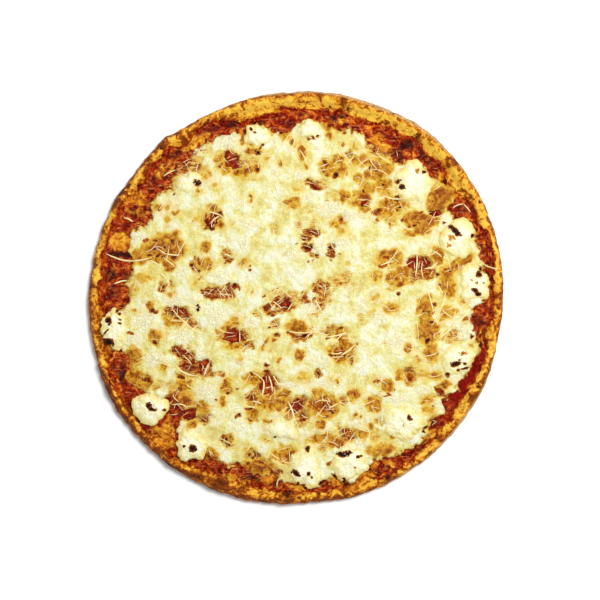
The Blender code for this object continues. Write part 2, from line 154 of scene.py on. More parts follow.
# Rows of patches are (x, y, half length, half width, heading, strength).
# Gaps and thin places, where the sauce shows through the cheese.
GAPS = (
    (-48, 101, 9, 4.3, -55, 1.0), (-37, 99, 6, 3.5, 10, 0.55), (-56, 97, 4, 3, 0, 0.5),
    (-63, 59, 7, 6, 60, 0.92), (-72, 95, 4, 2.5, -30, 0.7), (-84, 95, 6, 3, 0, 0.55),
    (-77, 98, 10, 4, 0, 0.35), (-35, 88, 3, 3, 0, 0.3), (12, 83.5, 4.5, 3, -20, 0.95),
    (18, 83, 4, 3, 10, 0.5), (21, 99, 5, 3.5, 0, 0.6), (26, 97, 3, 3, 0, 0.8), (38, 106, 2, 3.2, 0, 0.8),
    (34, 104, 3.5, 1.8, -50, 0.4), (47.5, 71.5, 4, 4, 0, 0.95), (42, 75, 3.5, 1.2, -60, 0.7),
    (48, 82, 2.2, 4.5, 0, 0.75), (7, 66, 5, 2.5, 10, 0.35), (31, 57, 3.5, 4, 0, 0.7),
    (6, 56, 8, 5, 0, 0.28), (11, 49.5, 4.5, 2, 0, 0.9), (6, 45.5, 4, 1.8, 0, 0.7),
    (7, 38, 3.6, 2.2, 10, 0.95), (12, 34.5, 3.5, 2.2, -30, 0.75), (24.5, 37, 2.2, 4, -15, 0.9),
    (23, 32.5, 2.6, 2, 0, 0.8), (26, 74, 6, 4, 0, 0.3), (61, 105, 9, 6, -20, 0.4),
    (63, 84.5, 4, 2.4, -20, 0.9), (68, 67, 8, 4.8, 20, 0.8), (60, 63, 4, 2.5, 30, 0.6),
    (68, 57, 2.2, 4.2, 10, 0.5), (55, 57, 3, 2, -20, 0.4), (100, 64, 6, 1.8, -3, 1.0),
    (88, 26, 10, 5.2, 8, 1.0), (85, 17, 6, 3.5, 10, 0.8), (73, 17, 8, 6, 0, 0.62), (66, 28, 8, 4, 0, 0.5),
    (68, 9, 5, 2.5, 0, 0.5), (57, 17, 5, 3.5, 0, 0.4), (104, 12, 4, 3, 40, 0.5), (116, 24, 7, 3, 30, 0.45),
    (68, -6, 5, 3.5, 0, 0.4), (113, -26, 6, 4.5, 0, 0.35), (-52, 33.5, 4.5, 3.5, 0, 0.65),
    (-51, 30, 4, 1.2, -10, 0.9), (-53, 5, 5, 4.5, 0, 0.75), (-48, 9.5, 3.4, 2, -20, 0.95),
    (-62, 5.5, 6, 3.6, 10, 0.85), (-36, 26, 4, 3.5, 0, 0.3), (-31, 35, 3, 5, 0, 0.25),
    (-11, -2.5, 7.2, 4.4, -15, 1.0), (-4, 2, 5, 3, -40, 0.5), (-21, -7, 5.5, 3.2, -25, 0.92),
    (-13, -8.5, 5, 1.6, 5, 0.7), (-16, 4, 8, 3, 20, 0.4), (4.5, 0, 3.6, 4.4, 0, 0.68),
    (14, -3, 5.5, 6.2, 0, 0.6), (16, 9.5, 5.5, 3.8, 0, 0.7), (22, 5, 2.5, 5, 0, 0.45),
    (31, 15, 7, 6, 0, 0.45), (40, 8, 7, 3, 0, 0.25), (-30, -11.5, 4, 2, -30, 0.5),
    (-16, -17, 4.5, 1.8, 20, 0.6), (-47, -27, 9, 5.8, -12, 0.95), (-46, -17, 3.5, 4, 0, 0.4),
    (-37, -33, 4, 2, 10, 0.85), (1, -25, 7, 4, -10, 0.85), (28, -23.5, 7.5, 3, 5, 0.85),
    (33, -28.5, 2.8, 4.5, 10, 0.65), (32, -37, 8.5, 3.2, 15, 0.92), (36, -42.5, 2.6, 4, 30, 0.85),
    (30, -43, 3.5, 3, 0, 0.55), (38, -27, 2.6, 3, 0, 0.3), (13, -23, 5, 1.6, 0, 0.35),
    (-87, -10.5, 8.5, 5.2, -12, 0.9), (-77, -17.5, 6, 1.6, -35, 0.75), (-87, -37.5, 4.5, 3, -20, 0.9),
    (-80, -42, 6, 4.2, -30, 0.8), (-78, -50, 8.5, 4, -8, 0.8), (-68.5, -49, 4.2, 4.8, 0, 1.0),
    (-104, -30.5, 2, 2.6, 0, 0.8), (-98, 9.5, 2.8, 3, 0, 0.7), (-92, 12, 1.6, 3.4, 0, 0.4),
    (-74, 26, 3, 5.5, 0, 0.7), (-85, -57, 3.2, 2.4, -20, 0.7), (-84, -68, 8, 6, -20, 0.62),
    (-93, -74, 4.4, 2.8, -10, 0.95), (-88.5, -81, 5.4, 4.4, 0, 1.0), (-79, -83, 4.4, 4, 0, 1.0),
    (-68, -85.5, 4.8, 3.6, 0, 0.9), (-75, -77, 6, 3.2, 0, 0.7), (-110.5, -58, 3.8, 2.4, 5, 0.95),
    (-98, -62, 8, 4, -10, 0.35), (-98, -49, 1.6, 2.2, 0, 0.4), (-52.5, -65, 3.4, 4.2, 30, 0.75),
    (-51.5, -102.5, 2.6, 4.4, 25, 0.92), (-65, -113, 4, 4, 0, 0.45), (-33, -57, 5.5, 3.2, 10, 0.7),
    (-22, -61.5, 8, 6.6, 80, 1.0), (-31.5, -73, 4.2, 5.6, 10, 0.9), (-27, -76.5, 4, 1.8, -10, 0.7),
    (-33.5, -85.5, 3.2, 3.4, 0, 0.85), (-18, -74, 10, 5, -8, 0.55), (-9, -69, 4, 2, 25, 0.75),
    (-6.5, -84, 2.2, 3.4, 10, 0.6), (-2, -77, 5.4, 4.6, 30, 1.0), (6, -73, 2.6, 3, 0, 0.85),
    (4, -84, 6, 3, 45, 0.88), (2, -90.5, 3, 1.6, 10, 0.65), (11, -77, 4, 5, 0, 0.7),
    (20, -77, 7.5, 6.6, 0, 0.78), (25, -81, 3.2, 2.4, 0, 0.92), (34, -73, 2.6, 2.4, 0, 0.75),
    (20, -103, 11, 3.8, 8, 0.5), (28, -103, 5, 1.8, 30, 0.8), (37, -98.5, 7.5, 3.6, -5, 0.75),
    (33, -95, 4, 1.6, -30, 0.6), (-32, -113.5, 6, 2.8, -8, 0.95), (-25, -118, 4, 2, -10, 0.85),
    (-8, -112, 6.5, 5.4, 0, 0.75), (-3, -115.5, 2.6, 2.6, 0, 0.85), (-17, -111, 2, 1.6, 0, 0.5),
    (-17, -125, 5, 3, 30, 0.85), (16, -112, 4, 4, 0, 0.3), (15, -53.5, 1.8, 3, 15, 0.85),
    (36, -53, 5, 4, 0, 0.22), (82, -55, 4.4, 4.8, 0, 0.88), (80, -51, 2, 2, 0, 0.6),
    (57, -76, 3, 5.4, 0, 0.65), (59.5, -88.5, 2, 3, 20, 0.7), (56, -99, 3, 3.4, 0, 0.6),
    (103.5, -66, 2.8, 3.4, 30, 0.95), (95, -74, 5, 5, 0, 0.4), (95, -81, 5, 2.6, 0, 0.45),
    (92, -53, 5, 2.6, 0, 0.35), (100, -91.5, 6.5, 5, 30, 0.7), (102, -57.5, 4, 1.5, -10, 0.45),
    (-103, -62.5, 3, 1.2, 0, 0.5), (122, 41, 3, 2, 0, 0.3), (94, 19, 4, 4, 0, 0.7),
    (-5, -115, 4, 3.4, 0, 0.8), (-66, -52, 4, 3, 0, 0.8), (-67, 91, 4, 3, 0, 0.35),
)

# Toasted patches, golden to amber.
TOASTED = (
    (-97, 37, 14, 9, 5, 0.95), (-92, 45, 7, 4, 30, 0.7), (-62, 67, 4, 2.5, 40, 0.8),
    (-57, 55, 4, 3, 0, 0.8), (-38, 94, 8, 3.5, 15, 0.9), (-29.5, 95, 1.8, 3, 0, 0.9),
    (-57, 103, 4, 3, 0, 0.8), (-53, 96, 4, 4, -30, 0.8), (-33, 117, 4, 4.5, 0, 0.75),
    (-33, 108, 5, 3, 0, 0.85), (-40, 118, 2, 5, 10, 0.75), (-24, 123, 1.6, 1.6, 0, 0.6),
    (-20, 120, 1.4, 1.2, 0, 0.9), (-3, 115, 2.2, 3.6, 15, 0.6), (3, 107, 3.2, 5.2, 15, 0.8),
    (6, 97.5, 2, 2, 0, 0.5), (-23, 103, 2.2, 1.4, 20, 0.5), (23, 121, 2.4, 3.4, 10, 0.75),
    (22, 127, 4, 3, 0, 0.55), (30, 126, 4, 2.4, 0, 0.75), (33, 113, 1.4, 1.2, 0, 0.7),
    (40, 113, 1.8, 1.6, 0, 0.75), (32, 94, 4.2, 5, 0, 0.75), (30, 102, 4, 4, 0, 0.6),
    (22, 96, 6, 6, 0, 0.65), (43.5, 89, 2.2, 3.6, -20, 0.75), (49, 102, 4, 5, 0, 0.85),
    (60, 97, 9, 5, -20, 0.75), (56, 91, 7, 4, 0, 0.7), (52, 82, 5, 4, 0, 0.6), (62, 85, 6, 3.5, -10, 0.7),
    (66, 77, 2.4, 2, 0, 0.6), (34, 76, 4.4, 4.2, 0, 0.85), (45, 77, 4, 3, 0, 0.6), (-5, 72, 6, 2, 14, 0.85),
    (-2, 69, 4, 2, 20, 0.7), (27, 55, 3.6, 4, 0, 0.5), (31, 50, 3, 3, 0, 0.35),
    (68, 68, 9.5, 6.5, 20, 0.75), (78, 70, 4.5, 2, -20, 0.8), (104, 74.5, 10.5, 7.6, 40, 1.0),
    (88, 58, 10, 5.8, -5, 0.95), (97, 58, 6, 4.5, 0, 0.8), (82, 49, 5, 3, 0, 0.65),
    (102, 33, 4, 7, 25, 0.8), (117, 26, 12, 3.6, 33, 0.75), (109, 12, 5.5, 11, 10, 0.82),
    (68, 31, 9, 6, 0, 0.7), (73, 16, 8, 6, 0, 0.72), (57, 17, 4, 4, 0, 0.5), (68, -6, 6, 4, 0, 0.5),
    (93, -6, 5.5, 9, -5, 0.82), (95, -23, 8, 8.5, 10, 0.97), (97, -38, 4.5, 9, 5, 0.75),
    (110, -9, 7, 4, 10, 0.5), (88, -43, 1.6, 3, 0, 0.5), (80, -35, 2.2, 3.2, -10, 0.95),
    (-66, 26, 4.6, 4.6, 0, 0.72), (-67, 38.5, 3.4, 4.4, 0, 0.75), (-40, 27, 3, 2.4, 0, 0.6),
    (-70, 16, 1.8, 1.8, 0, 0.5), (-75, 12, 1.6, 1.4, 0, 0.4), (-112, 16, 7, 4, 0, 0.4),
    (-92, 4.5, 1.8, 1.8, 0, 0.6), (-118, 8, 5, 4, 0, 0.3), (-107, -3.5, 2.4, 3, 0, 0.85),
    (-118, -7.5, 2.2, 1.1, 0, 0.9), (-95, -16.5, 1.8, 3, 0, 0.75), (-88, -17, 5, 2, -10, 0.75),
    (-104, -26, 5, 5, 0, 0.5), (-119, -41, 5.5, 6.5, 0, 0.85), (-120, -55, 8, 4.4, -15, 0.95),
    (-111, -60, 6, 3.6, 0, 0.85), (-98, -49, 2, 2.6, 0, 0.8), (-82, -62, 5, 4.5, 0, 0.85),
    (-84, -70, 8, 7, 0, 0.45), (-72, -78, 7, 4, 0, 0.8), (-77, -97, 2.6, 2, 0, 0.75),
    (-54.5, -73.5, 2.6, 3.2, 0, 0.8), (-52, -64, 4, 4.6, 30, 0.8), (-51, -58, 3, 1.6, 0, 0.65),
    (-64, -113, 5.6, 5.2, 0, 0.95), (-28.5, -121.5, 10.5, 5.4, 0, 1.0), (-48.5, -101, 2, 3, 0, 0.8),
    (-47, -106.5, 1.3, 1.2, 0, 0.8), (-35, -108.5, 3, 1.1, 10, 0.7), (-33, -57, 6, 4, 10, 0.8),
    (-33, -82, 4, 4.4, 0, 0.9), (-18, -75, 11, 6, -8, 0.85), (-24, -88, 1.7, 1.6, 0, 0.95),
    (-20.8, -90.3, 1.7, 1.6, 0, 0.85), (-18.4, -88.4, 1.5, 1.3, 0, 0.95), (-23, -102, 2.2, 1.6, 0, 0.6),
    (-8.5, -97, 1, 1.1, 0, 0.6), (-10, -69, 4, 2.8, 20, 0.85), (15, -67, 5, 3.4, 0, 0.8),
    (22, -71, 6, 3, -10, 0.7), (19, -77.5, 10, 9, 0, 0.75), (41, -69, 4.2, 4.6, 0, 0.85),
    (16.5, -90.5, 3.4, 3.4, 0, 0.85), (42, -84, 1.4, 1.2, 0, 1.0), (46, -84.5, 1, 1, 0, 1.0),
    (18, -101, 12, 3.6, 5, 0.55), (-16, -113, 4, 4, 0, 0.5), (-7, -113, 7, 6, 0, 0.85),
    (5, -56, 5, 3.6, 0, 0.35), (24, -57, 1.6, 1.4, 0, 0.4), (29, -59, 1, 1.4, 0, 0.8),
    (-1, -20, 7, 5.4, 0, 1.0), (1.5, -40.5, 3.4, 3.8, 0, 0.95), (-22.5, -29, 1.4, 1.3, 0, 1.0),
    (-17, -28.5, 1.7, 1.2, 0, 0.9), (-25, -34.5, 1.4, 1.2, 0, 0.95), (-14, -44, 1.6, 1.6, 0, 0.85),
    (-42, -43, 1.8, 2.2, 0, 0.4), (-33, 5.5, 1, 1.1, 0, 0.6), (-45, -33, 8, 2.4, 0, 0.7),
    (-50, -22, 5, 5, 0, 0.7), (-46, -16, 3, 4, 0, 0.6), (31, -24, 5, 4, 0, 0.6), (33, -29, 3.4, 4, 0, 0.9),
    (31, -35, 8, 4, 10, 0.8), (31, -43, 5, 3.4, 0, 0.8), (66, -62, 4.2, 4.8, 0, 0.9),
    (74, -54, 2.6, 4, 0, 0.8), (57, -58.5, 1.6, 1.6, 0, 0.8), (53, -75, 4, 5, 0, 0.8),
    (57, -77, 3.4, 5.4, 0, 0.7), (60, -109, 10, 4.4, 5, 0.7), (53, -92, 2.4, 2, 0, 0.6),
    (107, -61.5, 4.6, 2.8, 0, 0.85), (101, -55.5, 5, 3, 0, 0.55), (92, -54, 5, 2.6, 0, 0.5),
    (94, -73, 4, 3, 30, 0.55), (95, -80, 4.4, 2.2, 0, 0.6), (67, -98.5, 4, 1.2, -25, 0.6),
    (100, -92, 5, 4.4, 30, 0.5), (122, -14, 2, 1.6, 0, 0.8), (105, -15, 2, 1, 30, 0.6),
    (126, -33, 2, 2, 0, 0.4), (121, -1, 2, 1.6, 0, 0.6), (-89, 64, 3, 2.2, 0, 0.5),
    (-95, 68, 2.4, 2, 0, 0.5), (-95, 58, 2, 3.6, 0, 0.5), (-102, 67, 3, 3, 0, 0.55),
    (-84, 84, 3, 3, 0, 0.5), (-72, 79.5, 1.1, 1.3, 0, 0.95), (-60, 83, 2, 3, 0, 0.4),
    (-73, 58, 5, 3, 10, 0.4), (-13, 99, 1.2, 1, 0, 0.9), (-1, 80, 2, 1.4, 0, 0.4),
    (54, -8, 2, 1.4, 20, 0.5), (57, 2, 4, 2, 20, 0.4), (104, 48, 1.6, 1.2, 0, 0.5),
    (-34, 74.5, 1, 1.2, 0, 0.9), (-34, 72.3, 0.9, 0.8, 0, 0.9), (90, 51, 6, 3.5, 0, 0.85),
    (48, -98, 4, 3, 0, 0.8), (-116, 31, 5, 6, 0, 0.8), (-93, 26, 5, 5, 0, 0.7), (-9, 121, 4, 5, 0, 0.6),
    (43, 72, 6, 5, 0, 0.5), (62, 80, 5, 4, 0, 0.5), (43, 101, 5, 4, 0, 0.5), (-67, 91, 5, 4, 0, 0.4),
    (49, 67, 5, 4, 0, 0.5), (-77, -91, 5, 4, 0, 0.5),
)

# Brown patches, most of them inside the toasted ones.
BROWNED = (
    (-104, 43, 2.2, 1.6, 0, 0.8), (-110, 43, 2, 1.2, 0, 0.6), (-104, 37, 1.4, 1.3, 0, 0.9),
    (-97, 38.5, 1.6, 1.2, 30, 0.85), (-101, 33, 2.4, 1.2, 20, 0.95), (-107, 32, 2, 1.1, 10, 0.8),
    (-90, 42, 1.6, 2.4, 10, 0.7), (-90, 31.5, 2, 3, 0, 0.75), (-86, 34, 1.8, 1.6, 0, 0.6),
    (-84, 38, 1.2, 1.2, 0, 0.7), (-67, 39, 1, 1, 0, 0.75), (-72, 28, 1.6, 3.4, 10, 0.65),
    (-63, 54, 2.4, 2.6, 0, 0.95), (-56, 62.6, 1.6, 1.2, -40, 0.9), (-66, 60, 2, 3, 0, 0.5),
    (-29.5, 95, 1.2, 2, 0, 0.7), (-56, 98, 2.2, 1.2, 30, 0.55), (-6, 73, 3.4, 0.9, 14, 0.6),
    (3, 105, 1, 2.4, 0, 0.4), (20, 101, 1.2, 1.8, 0, 0.85), (18, 94, 1, 3, 30, 0.8),
    (22, 97.5, 3, 0.9, -10, 0.7), (28, 91, 2.2, 1.8, 0, 0.95), (34.5, 75.5, 1.6, 1.4, 0, 0.55),
    (31.5, 58, 1.8, 2.2, 0, 0.55), (72, 73, 2.2, 1.6, -20, 0.95), (61, 65.5, 1.8, 1.2, 0, 0.85),
    (66, 70, 2, 4, 30, 0.45), (77, 58.5, 1.4, 1.1, 0, 0.6), (57.5, 58, 1.3, 1.3, 0, 0.6),
    (58, 95, 1.6, 1.2, -20, 0.7), (53, 96, 1.2, 1, 0, 0.7), (88, 63, 4, 1, 5, 0.7), (97, 57, 3, 3, 0, 0.45),
    (96, 68, 1, 3, -30, 0.55), (81, 53, 1.4, 1, 20, 0.75), (64, 31, 4, 1.6, -10, 0.55),
    (62, 25, 3, 1.6, 0, 0.5), (75, 34, 1.4, 1, -20, 0.4), (92, -7.5, 1.8, 1, 30, 0.85),
    (93, -5, 0.8, 2, 0, 0.7), (99, -3.8, 1.5, 1.5, 0, 0.85), (98.5, -9.8, 1, 0.8, 0, 0.7),
    (97.5, -16, 2.2, 1.2, 0, 0.8), (93, -21, 3, 1.6, -30, 0.4), (94.5, -29.8, 2.2, 1.8, 0, 0.85),
    (88, -22, 1.2, 3, 0, 0.4), (97, -42, 1.4, 1, 0, 0.4), (80, -34, 1.6, 2, 0, 0.4),
    (103, 11.5, 1.8, 0.9, 30, 0.6), (116, 24.5, 2.4, 1.6, 20, 0.5), (111, 21.5, 1.4, 1.6, 0, 0.8),
    (107, 22, 1.4, 1.2, 0, 0.5), (-106, -7.3, 1.7, 1.5, 0, 0.95), (-103.6, -8.8, 1.4, 0.9, -20, 0.85),
    (-104, -30.8, 1.8, 1.5, 20, 0.75), (-118, -37, 1, 1, 0, 0.5), (-98, 9, 1.4, 1.2, 0, 0.85),
    (-92, 13, 0.8, 2, 0, 0.5), (-110.5, -58, 3, 1.8, 0, 0.7), (-86, -65, 1.8, 1.4, -30, 0.8),
    (-84.5, -56.5, 2.4, 1.2, -20, 0.75), (-82, -72, 2, 2, 0, 0.4), (-88.5, -81, 4.4, 3.4, 0, 0.85),
    (-79, -83.5, 3, 3, 0, 0.9), (-93, -74, 3.2, 1.8, -10, 0.7), (-68, -49.5, 3.2, 4, 0, 0.55),
    (-76, -95.6, 1, 0.9, 0, 0.75), (-36, -79.5, 2.4, 1.2, 0, 0.9), (-32, -54, 3, 1, -15, 0.8),
    (-32, -72, 2, 3.4, 0, 0.7), (-34, -86.5, 1.8, 1.6, 0, 0.6), (-28, -118, 5, 1.6, -5, 0.6),
    (-36, -118.5, 1.6, 1.4, 0, 0.7), (-6.5, -66.6, 1, 0.9, 0, 0.8), (13, -74, 1.8, 1.4, 0, 0.7),
    (16, -78, 1.2, 1.4, 0, 0.6), (25, -81, 2.4, 1.8, 0, 0.7), (24, -75, 1.4, 1.8, -40, 0.5),
    (15.5, -88.6, 1.6, 1.1, 0, 0.85), (18, -92.8, 2, 0.8, 0, 0.5), (-44, -65, 1, 0.9, 0, 0.7),
    (-6.5, -23.3, 1.4, 1.2, 0, 0.9), (5, -26.3, 3.2, 1.4, 5, 0.95), (-1, -26.5, 5, 2, -25, 0.55),
    (2.6, -21, 1, 0.8, 0, 0.9), (1.2, -39.6, 1.1, 0.9, 0, 0.8), (-50, -28.5, 4, 1.8, 0, 0.8),
    (-43.5, -27, 1.2, 3.4, 10, 0.8), (-39, -29.5, 1.6, 1.6, 0, 0.7), (-37, -33, 2.4, 1.2, 20, 0.6),
    (-46, -22, 2, 3, 0, 0.35), (-15, 7.5, 0.9, 0.7, 0, 0.6), (-24, 3, 1.2, 1, 0, 0.5),
    (-6, -4.2, 1.6, 1.8, 0, 0.9), (-19, -10, 2.6, 1.3, -20, 0.7), (16.5, 9, 2.4, 1.5, 0, 0.6),
    (12, 10.5, 0.8, 1.8, -30, 0.5), (19.5, 3, 0.9, 2.4, 0, 0.6), (12, 0.2, 1.1, 0.9, 0, 0.6),
    (22, 12.5, 2.6, 0.9, 0, 0.5), (34, 18, 1.2, 1, 0, 0.4), (31, 12.5, 1.6, 1.3, 0, 0.4),
    (28, 14, 1, 0.8, 0, 0.4), (30.5, -20.8, 2, 1, 0, 0.7), (22, -27, 2.2, 0.9, 0, 0.7),
    (24.5, -40, 1.7, 1.1, -20, 0.9), (33, -41, 3, 1.1, 10, 0.85), (39.5, -35.6, 1.5, 1, 0, 0.5),
    (65, -69, 2.8, 0.9, 5, 0.7), (60, -67, 1.4, 0.8, -20, 0.5), (82, -56, 3, 3.4, 0, 0.5),
    (57, -76, 1.3, 2.6, 0, 0.5), (56, -78.5, 1, 1, 0, 0.6), (103.5, -66.5, 2.2, 2.8, 30, 0.85),
    (100.5, -64.5, 0.9, 1.8, 20, 0.8), (109, -54, 1.8, 1.3, -20, 0.9), (127, -26.5, 1.1, 1.4, 0, 0.85),
    (93, -93, 1.2, 1.6, -40, 0.9), (121, -1, 1, 0.8, 0, 0.5), (-55, -54, 3, 2, 0, 0.35),
    (-84, -82, 6, 3, 5, 0.9), (-67, -52, 4, 2, 20, 0.7), (94, 18, 3, 2, 0, 0.6), (-5, -114, 5, 3, 0, 0.5),
    (58, 64, 4, 3, 0, 0.5), (-22, -66, 5, 5, 0, 0.45), (-4, -79, 5, 4, 0, 0.45), (-89, -76, 5, 4, 0, 0.5),
    (-90, -70, 5, 4, 0, 0.5), (14, -77, 7, 5, 0, 0.4), (29, -104, 6, 3, 0, 0.4), (77, 21, 5, 4, 0, 0.4),
    (20, -78, 6, 4.5, 20, 0.55), (-4, -81, 5, 4, 0, 0.4), (-4, -114, 6, 5, 0, 0.5),
    (-82, -74, 5, 4, 0, 0.5), (49, 74, 5, 4, 0, 0.45),
)

# Thicker white places in the melted cheese.
CURDS = (
    (-50, 116, 9, 5, 10, 1.0), (-14, 117, 6, 5, 0, 0.6), (1, 91, 3, 3, 0, 0.8), (23, 66, 9, 5, 10, 0.9),
    (9, 75, 6, 4, 0, 0.6), (38, 62, 5, 4, 0, 0.7), (16, 38, 5, 5, 0, 0.9), (34, 41, 5, 3.4, 0, 0.9),
    (27, 44, 2.5, 4, 0, 0.7), (-3, 33, 8, 4, 0, 0.5), (-39, 38, 3.4, 6, 0, 0.8), (-35, 55, 8, 4, 0, 0.6),
    (65, 14, 2.6, 3.4, 0, 1.0), (77.5, 28, 2.6, 4.4, 0, 1.0), (57, 4, 5, 6, 0, 0.6),
    (60, -12, 6, 6, 0, 0.8), (72, -31, 6, 6, 0, 0.7), (47, -5, 5, 5, 0, 0.5), (10, 3, 2.4, 3, 0, 0.9),
    (8, -6, 7, 4, 0, 0.6), (14, -20.5, 3, 2, 0, 0.8), (26, -31, 4, 2.4, 10, 1.0), (18, -45, 6, 4, 0, 0.9),
    (26, -60, 9, 5.5, 0, 0.9), (-6, -62, 7, 3, 0, 0.7), (-18, -6, 1.8, 1.6, 0, 0.8),
    (-33, -16, 6, 4, 0, 0.8), (-58, -13, 9, 7, 0, 0.7), (-83, -26, 7, 4, 0, 0.7),
    (-70, -41, 3.4, 3.4, 0, 0.9), (-104, -44, 8, 5, 0, 0.9), (-112, -15, 9, 7, 0, 0.75),
    (-92, 0, 8, 5, 0, 0.6), (-73, 3, 5, 4, 0, 0.5), (-57, 17, 7, 5, 0, 0.7), (-116, 44, 5, 6, 0, 0.6),
    (-84, 20, 6, 5, 0, 0.5), (-88, 72, 8, 5, 0, 0.4), (-96, 62, 6, 4, 0, 0.4), (-66, -68, 9, 7, 0, 0.7),
    (-58, -86, 7, 6, 0, 0.4), (-80, -97, 7, 6, 0, 0.7), (-44, -92, 6, 5, 0, 0.6),
    (-18, -94, 9, 4.5, -10, 1.0), (-18, -68.6, 2.8, 1.4, -10, 0.9), (17, -95, 6, 2.8, 0, 0.9),
    (44, -87, 8, 5, 0, 0.85), (13, -104, 5, 4, 0, 0.4), (46, -106, 6, 5, 0, 0.7), (74, -72, 8, 3.4, 0, 0.8),
    (90, -66, 6, 4, 0, 0.7), (102, -77, 5, 4, 0, 0.9), (106, -85.5, 2.4, 1.6, 0, 0.9),
    (114, -56, 5, 3.4, 0, 0.9), (84, -2, 5, 5, 0, 0.4), (106, 38, 7, 8, 0, 0.5), (91, 42, 6, 4, 0, 0.35),
    (92, 71, 6, 5, 0, 0.6), (52, 60, 5, 5, 0, 0.4), (120, -14, 8, 5, 30, 0.8), (123, -23, 6, 6, 0, 0.9),
    (105, -36, 6, 4, 0, 0.5), (-120, -30, 7, 6, 0, 0.8), (-72, 110, 6, 4, 30, 0.4),
    (-78, 88, 6, 4.5, 0, 1.0),
)

# Where the pale floury side of the rim shows from above: (angle, width, spread in degrees).
RIM_PALE = ((62, 2.8, 26), (322, 1.8, 24), (95, 0.8, 12))

# Where round the rim it is made more golden, or more brown: (angle, how much, spread in degrees).
RIM_TONE = (
    (20, 0.15, 18), (60, 0.2, 30), (135, -0.15, 16), (228, -0.6, 32), (282, -0.3, 30), (330, -0.15, 20),
)

# Where the foot of the rim is darkened on the side away from the lamp, partly scorched and partly painted
# shade: (angle, how much, spread in degrees).
FOOT_SCORCH_AND_SHADE = ((228, 1.0, 30),)

# Bright golden places on the rim.
RIM_GOLD = (
    (-137, 60, 8, 2.4, 58, 0.9), (-117, 89, 9, 2.6, 65, 1.0), (-100, 106, 6, 3, 25, 1.0),
    (-91, 116, 6, 2.8, -50, 0.9), (-78, 125, 6, 2, 35, 0.7), (-65, 133, 8, 2.6, 25, 0.95),
    (-53, 137, 7, 3.6, 15, 0.9), (-42, 138, 8, 4.5, 10, 0.8), (-26, 142, 9, 4.5, 5, 1.0),
    (-29, 135.5, 13, 2.6, 14, 1.0), (-8, 144, 9, 3, 0, 1.0), (10, 143, 8, 4, 0, 0.8),
    (21, 144, 5, 3, -10, 0.9), (41, 139, 5, 4, -10, 0.8), (54, 134.5, 10, 3.6, -20, 1.0),
    (69, 131, 7, 3, -32, 0.9), (75, 126, 5, 4, -45, 0.8), (83, 122, 5, 2.6, -50, 0.9),
    (93, 114, 5, 1.8, -45, 0.9), (101, 106.5, 8, 3.2, -42, 1.0), (114, 93, 6, 2.6, -65, 0.8),
    (117, 87, 6, 3.6, -45, 0.75), (126, 79, 6, 2.4, -50, 0.6), (134, 65, 8, 3.6, -68, 1.0),
    (137, 56, 5, 3, -60, 0.9), (143, 38, 12, 1.8, -74, 1.0), (145, 18, 6, 4, 90, 0.95),
    (143, 9, 5, 4.5, 90, 0.8), (146.5, -9, 3, 1.6, 60, 0.9), (142, -25, 8, 4, 80, 0.65),
    (141.5, -37, 9, 3, 66, 1.0), (133, -55, 9, 2.4, 60, 1.0), (128, -64, 6, 3.2, 45, 1.0),
    (121, -72, 6, 3.2, 60, 0.95), (118, -81, 7, 3.4, 60, 1.0), (110, -90, 11, 2, 45, 0.95),
    (98, -106, 6, 3.4, 42, 0.9), (91, -112, 8, 2.6, 42, 0.9), (82, -119, 7, 2.6, 20, 0.95),
    (75, -125, 6, 2.6, 28, 1.0), (54, -131, 8, 4, 8, 0.75), (44, -135, 7, 3, 10, 0.7),
    (24, -141, 9, 2, 12, 0.75), (7, -142.5, 8, 2.6, 4, 0.85), (-25, -140, 13, 3.6, -4, 1.0),
    (-45, -134, 4, 3, -30, 0.6), (-64, -127, 6, 1.5, -15, 0.9), (-76, -123, 8, 1.5, -15, 0.9),
    (-93, -113.5, 5, 2, -28, 0.9), (-100, -104, 9, 4, -12, 0.9), (-115.5, -92, 7, 2.4, -42, 1.0),
    (-125, -81, 8, 1.5, -50, 0.9), (-131, -70, 8, 1.4, -64, 0.85), (-137, -57, 9, 1.6, -60, 0.85),
    (-142, -43, 5, 2.6, -65, 0.9), (-146, -31, 3.6, 2, 90, 0.8), (-147.5, -17, 7, 2.4, 90, 0.75),
    (-147, 2, 8, 2, 90, 0.6), (-146, 19, 9, 2.6, 90, 1.0), (-145.5, 36, 10, 2.2, 90, 1.0),
    (-28, 138.5, 13, 5, 12, 1.0), (114, 82, 5, 4, 35, 1.0),
)

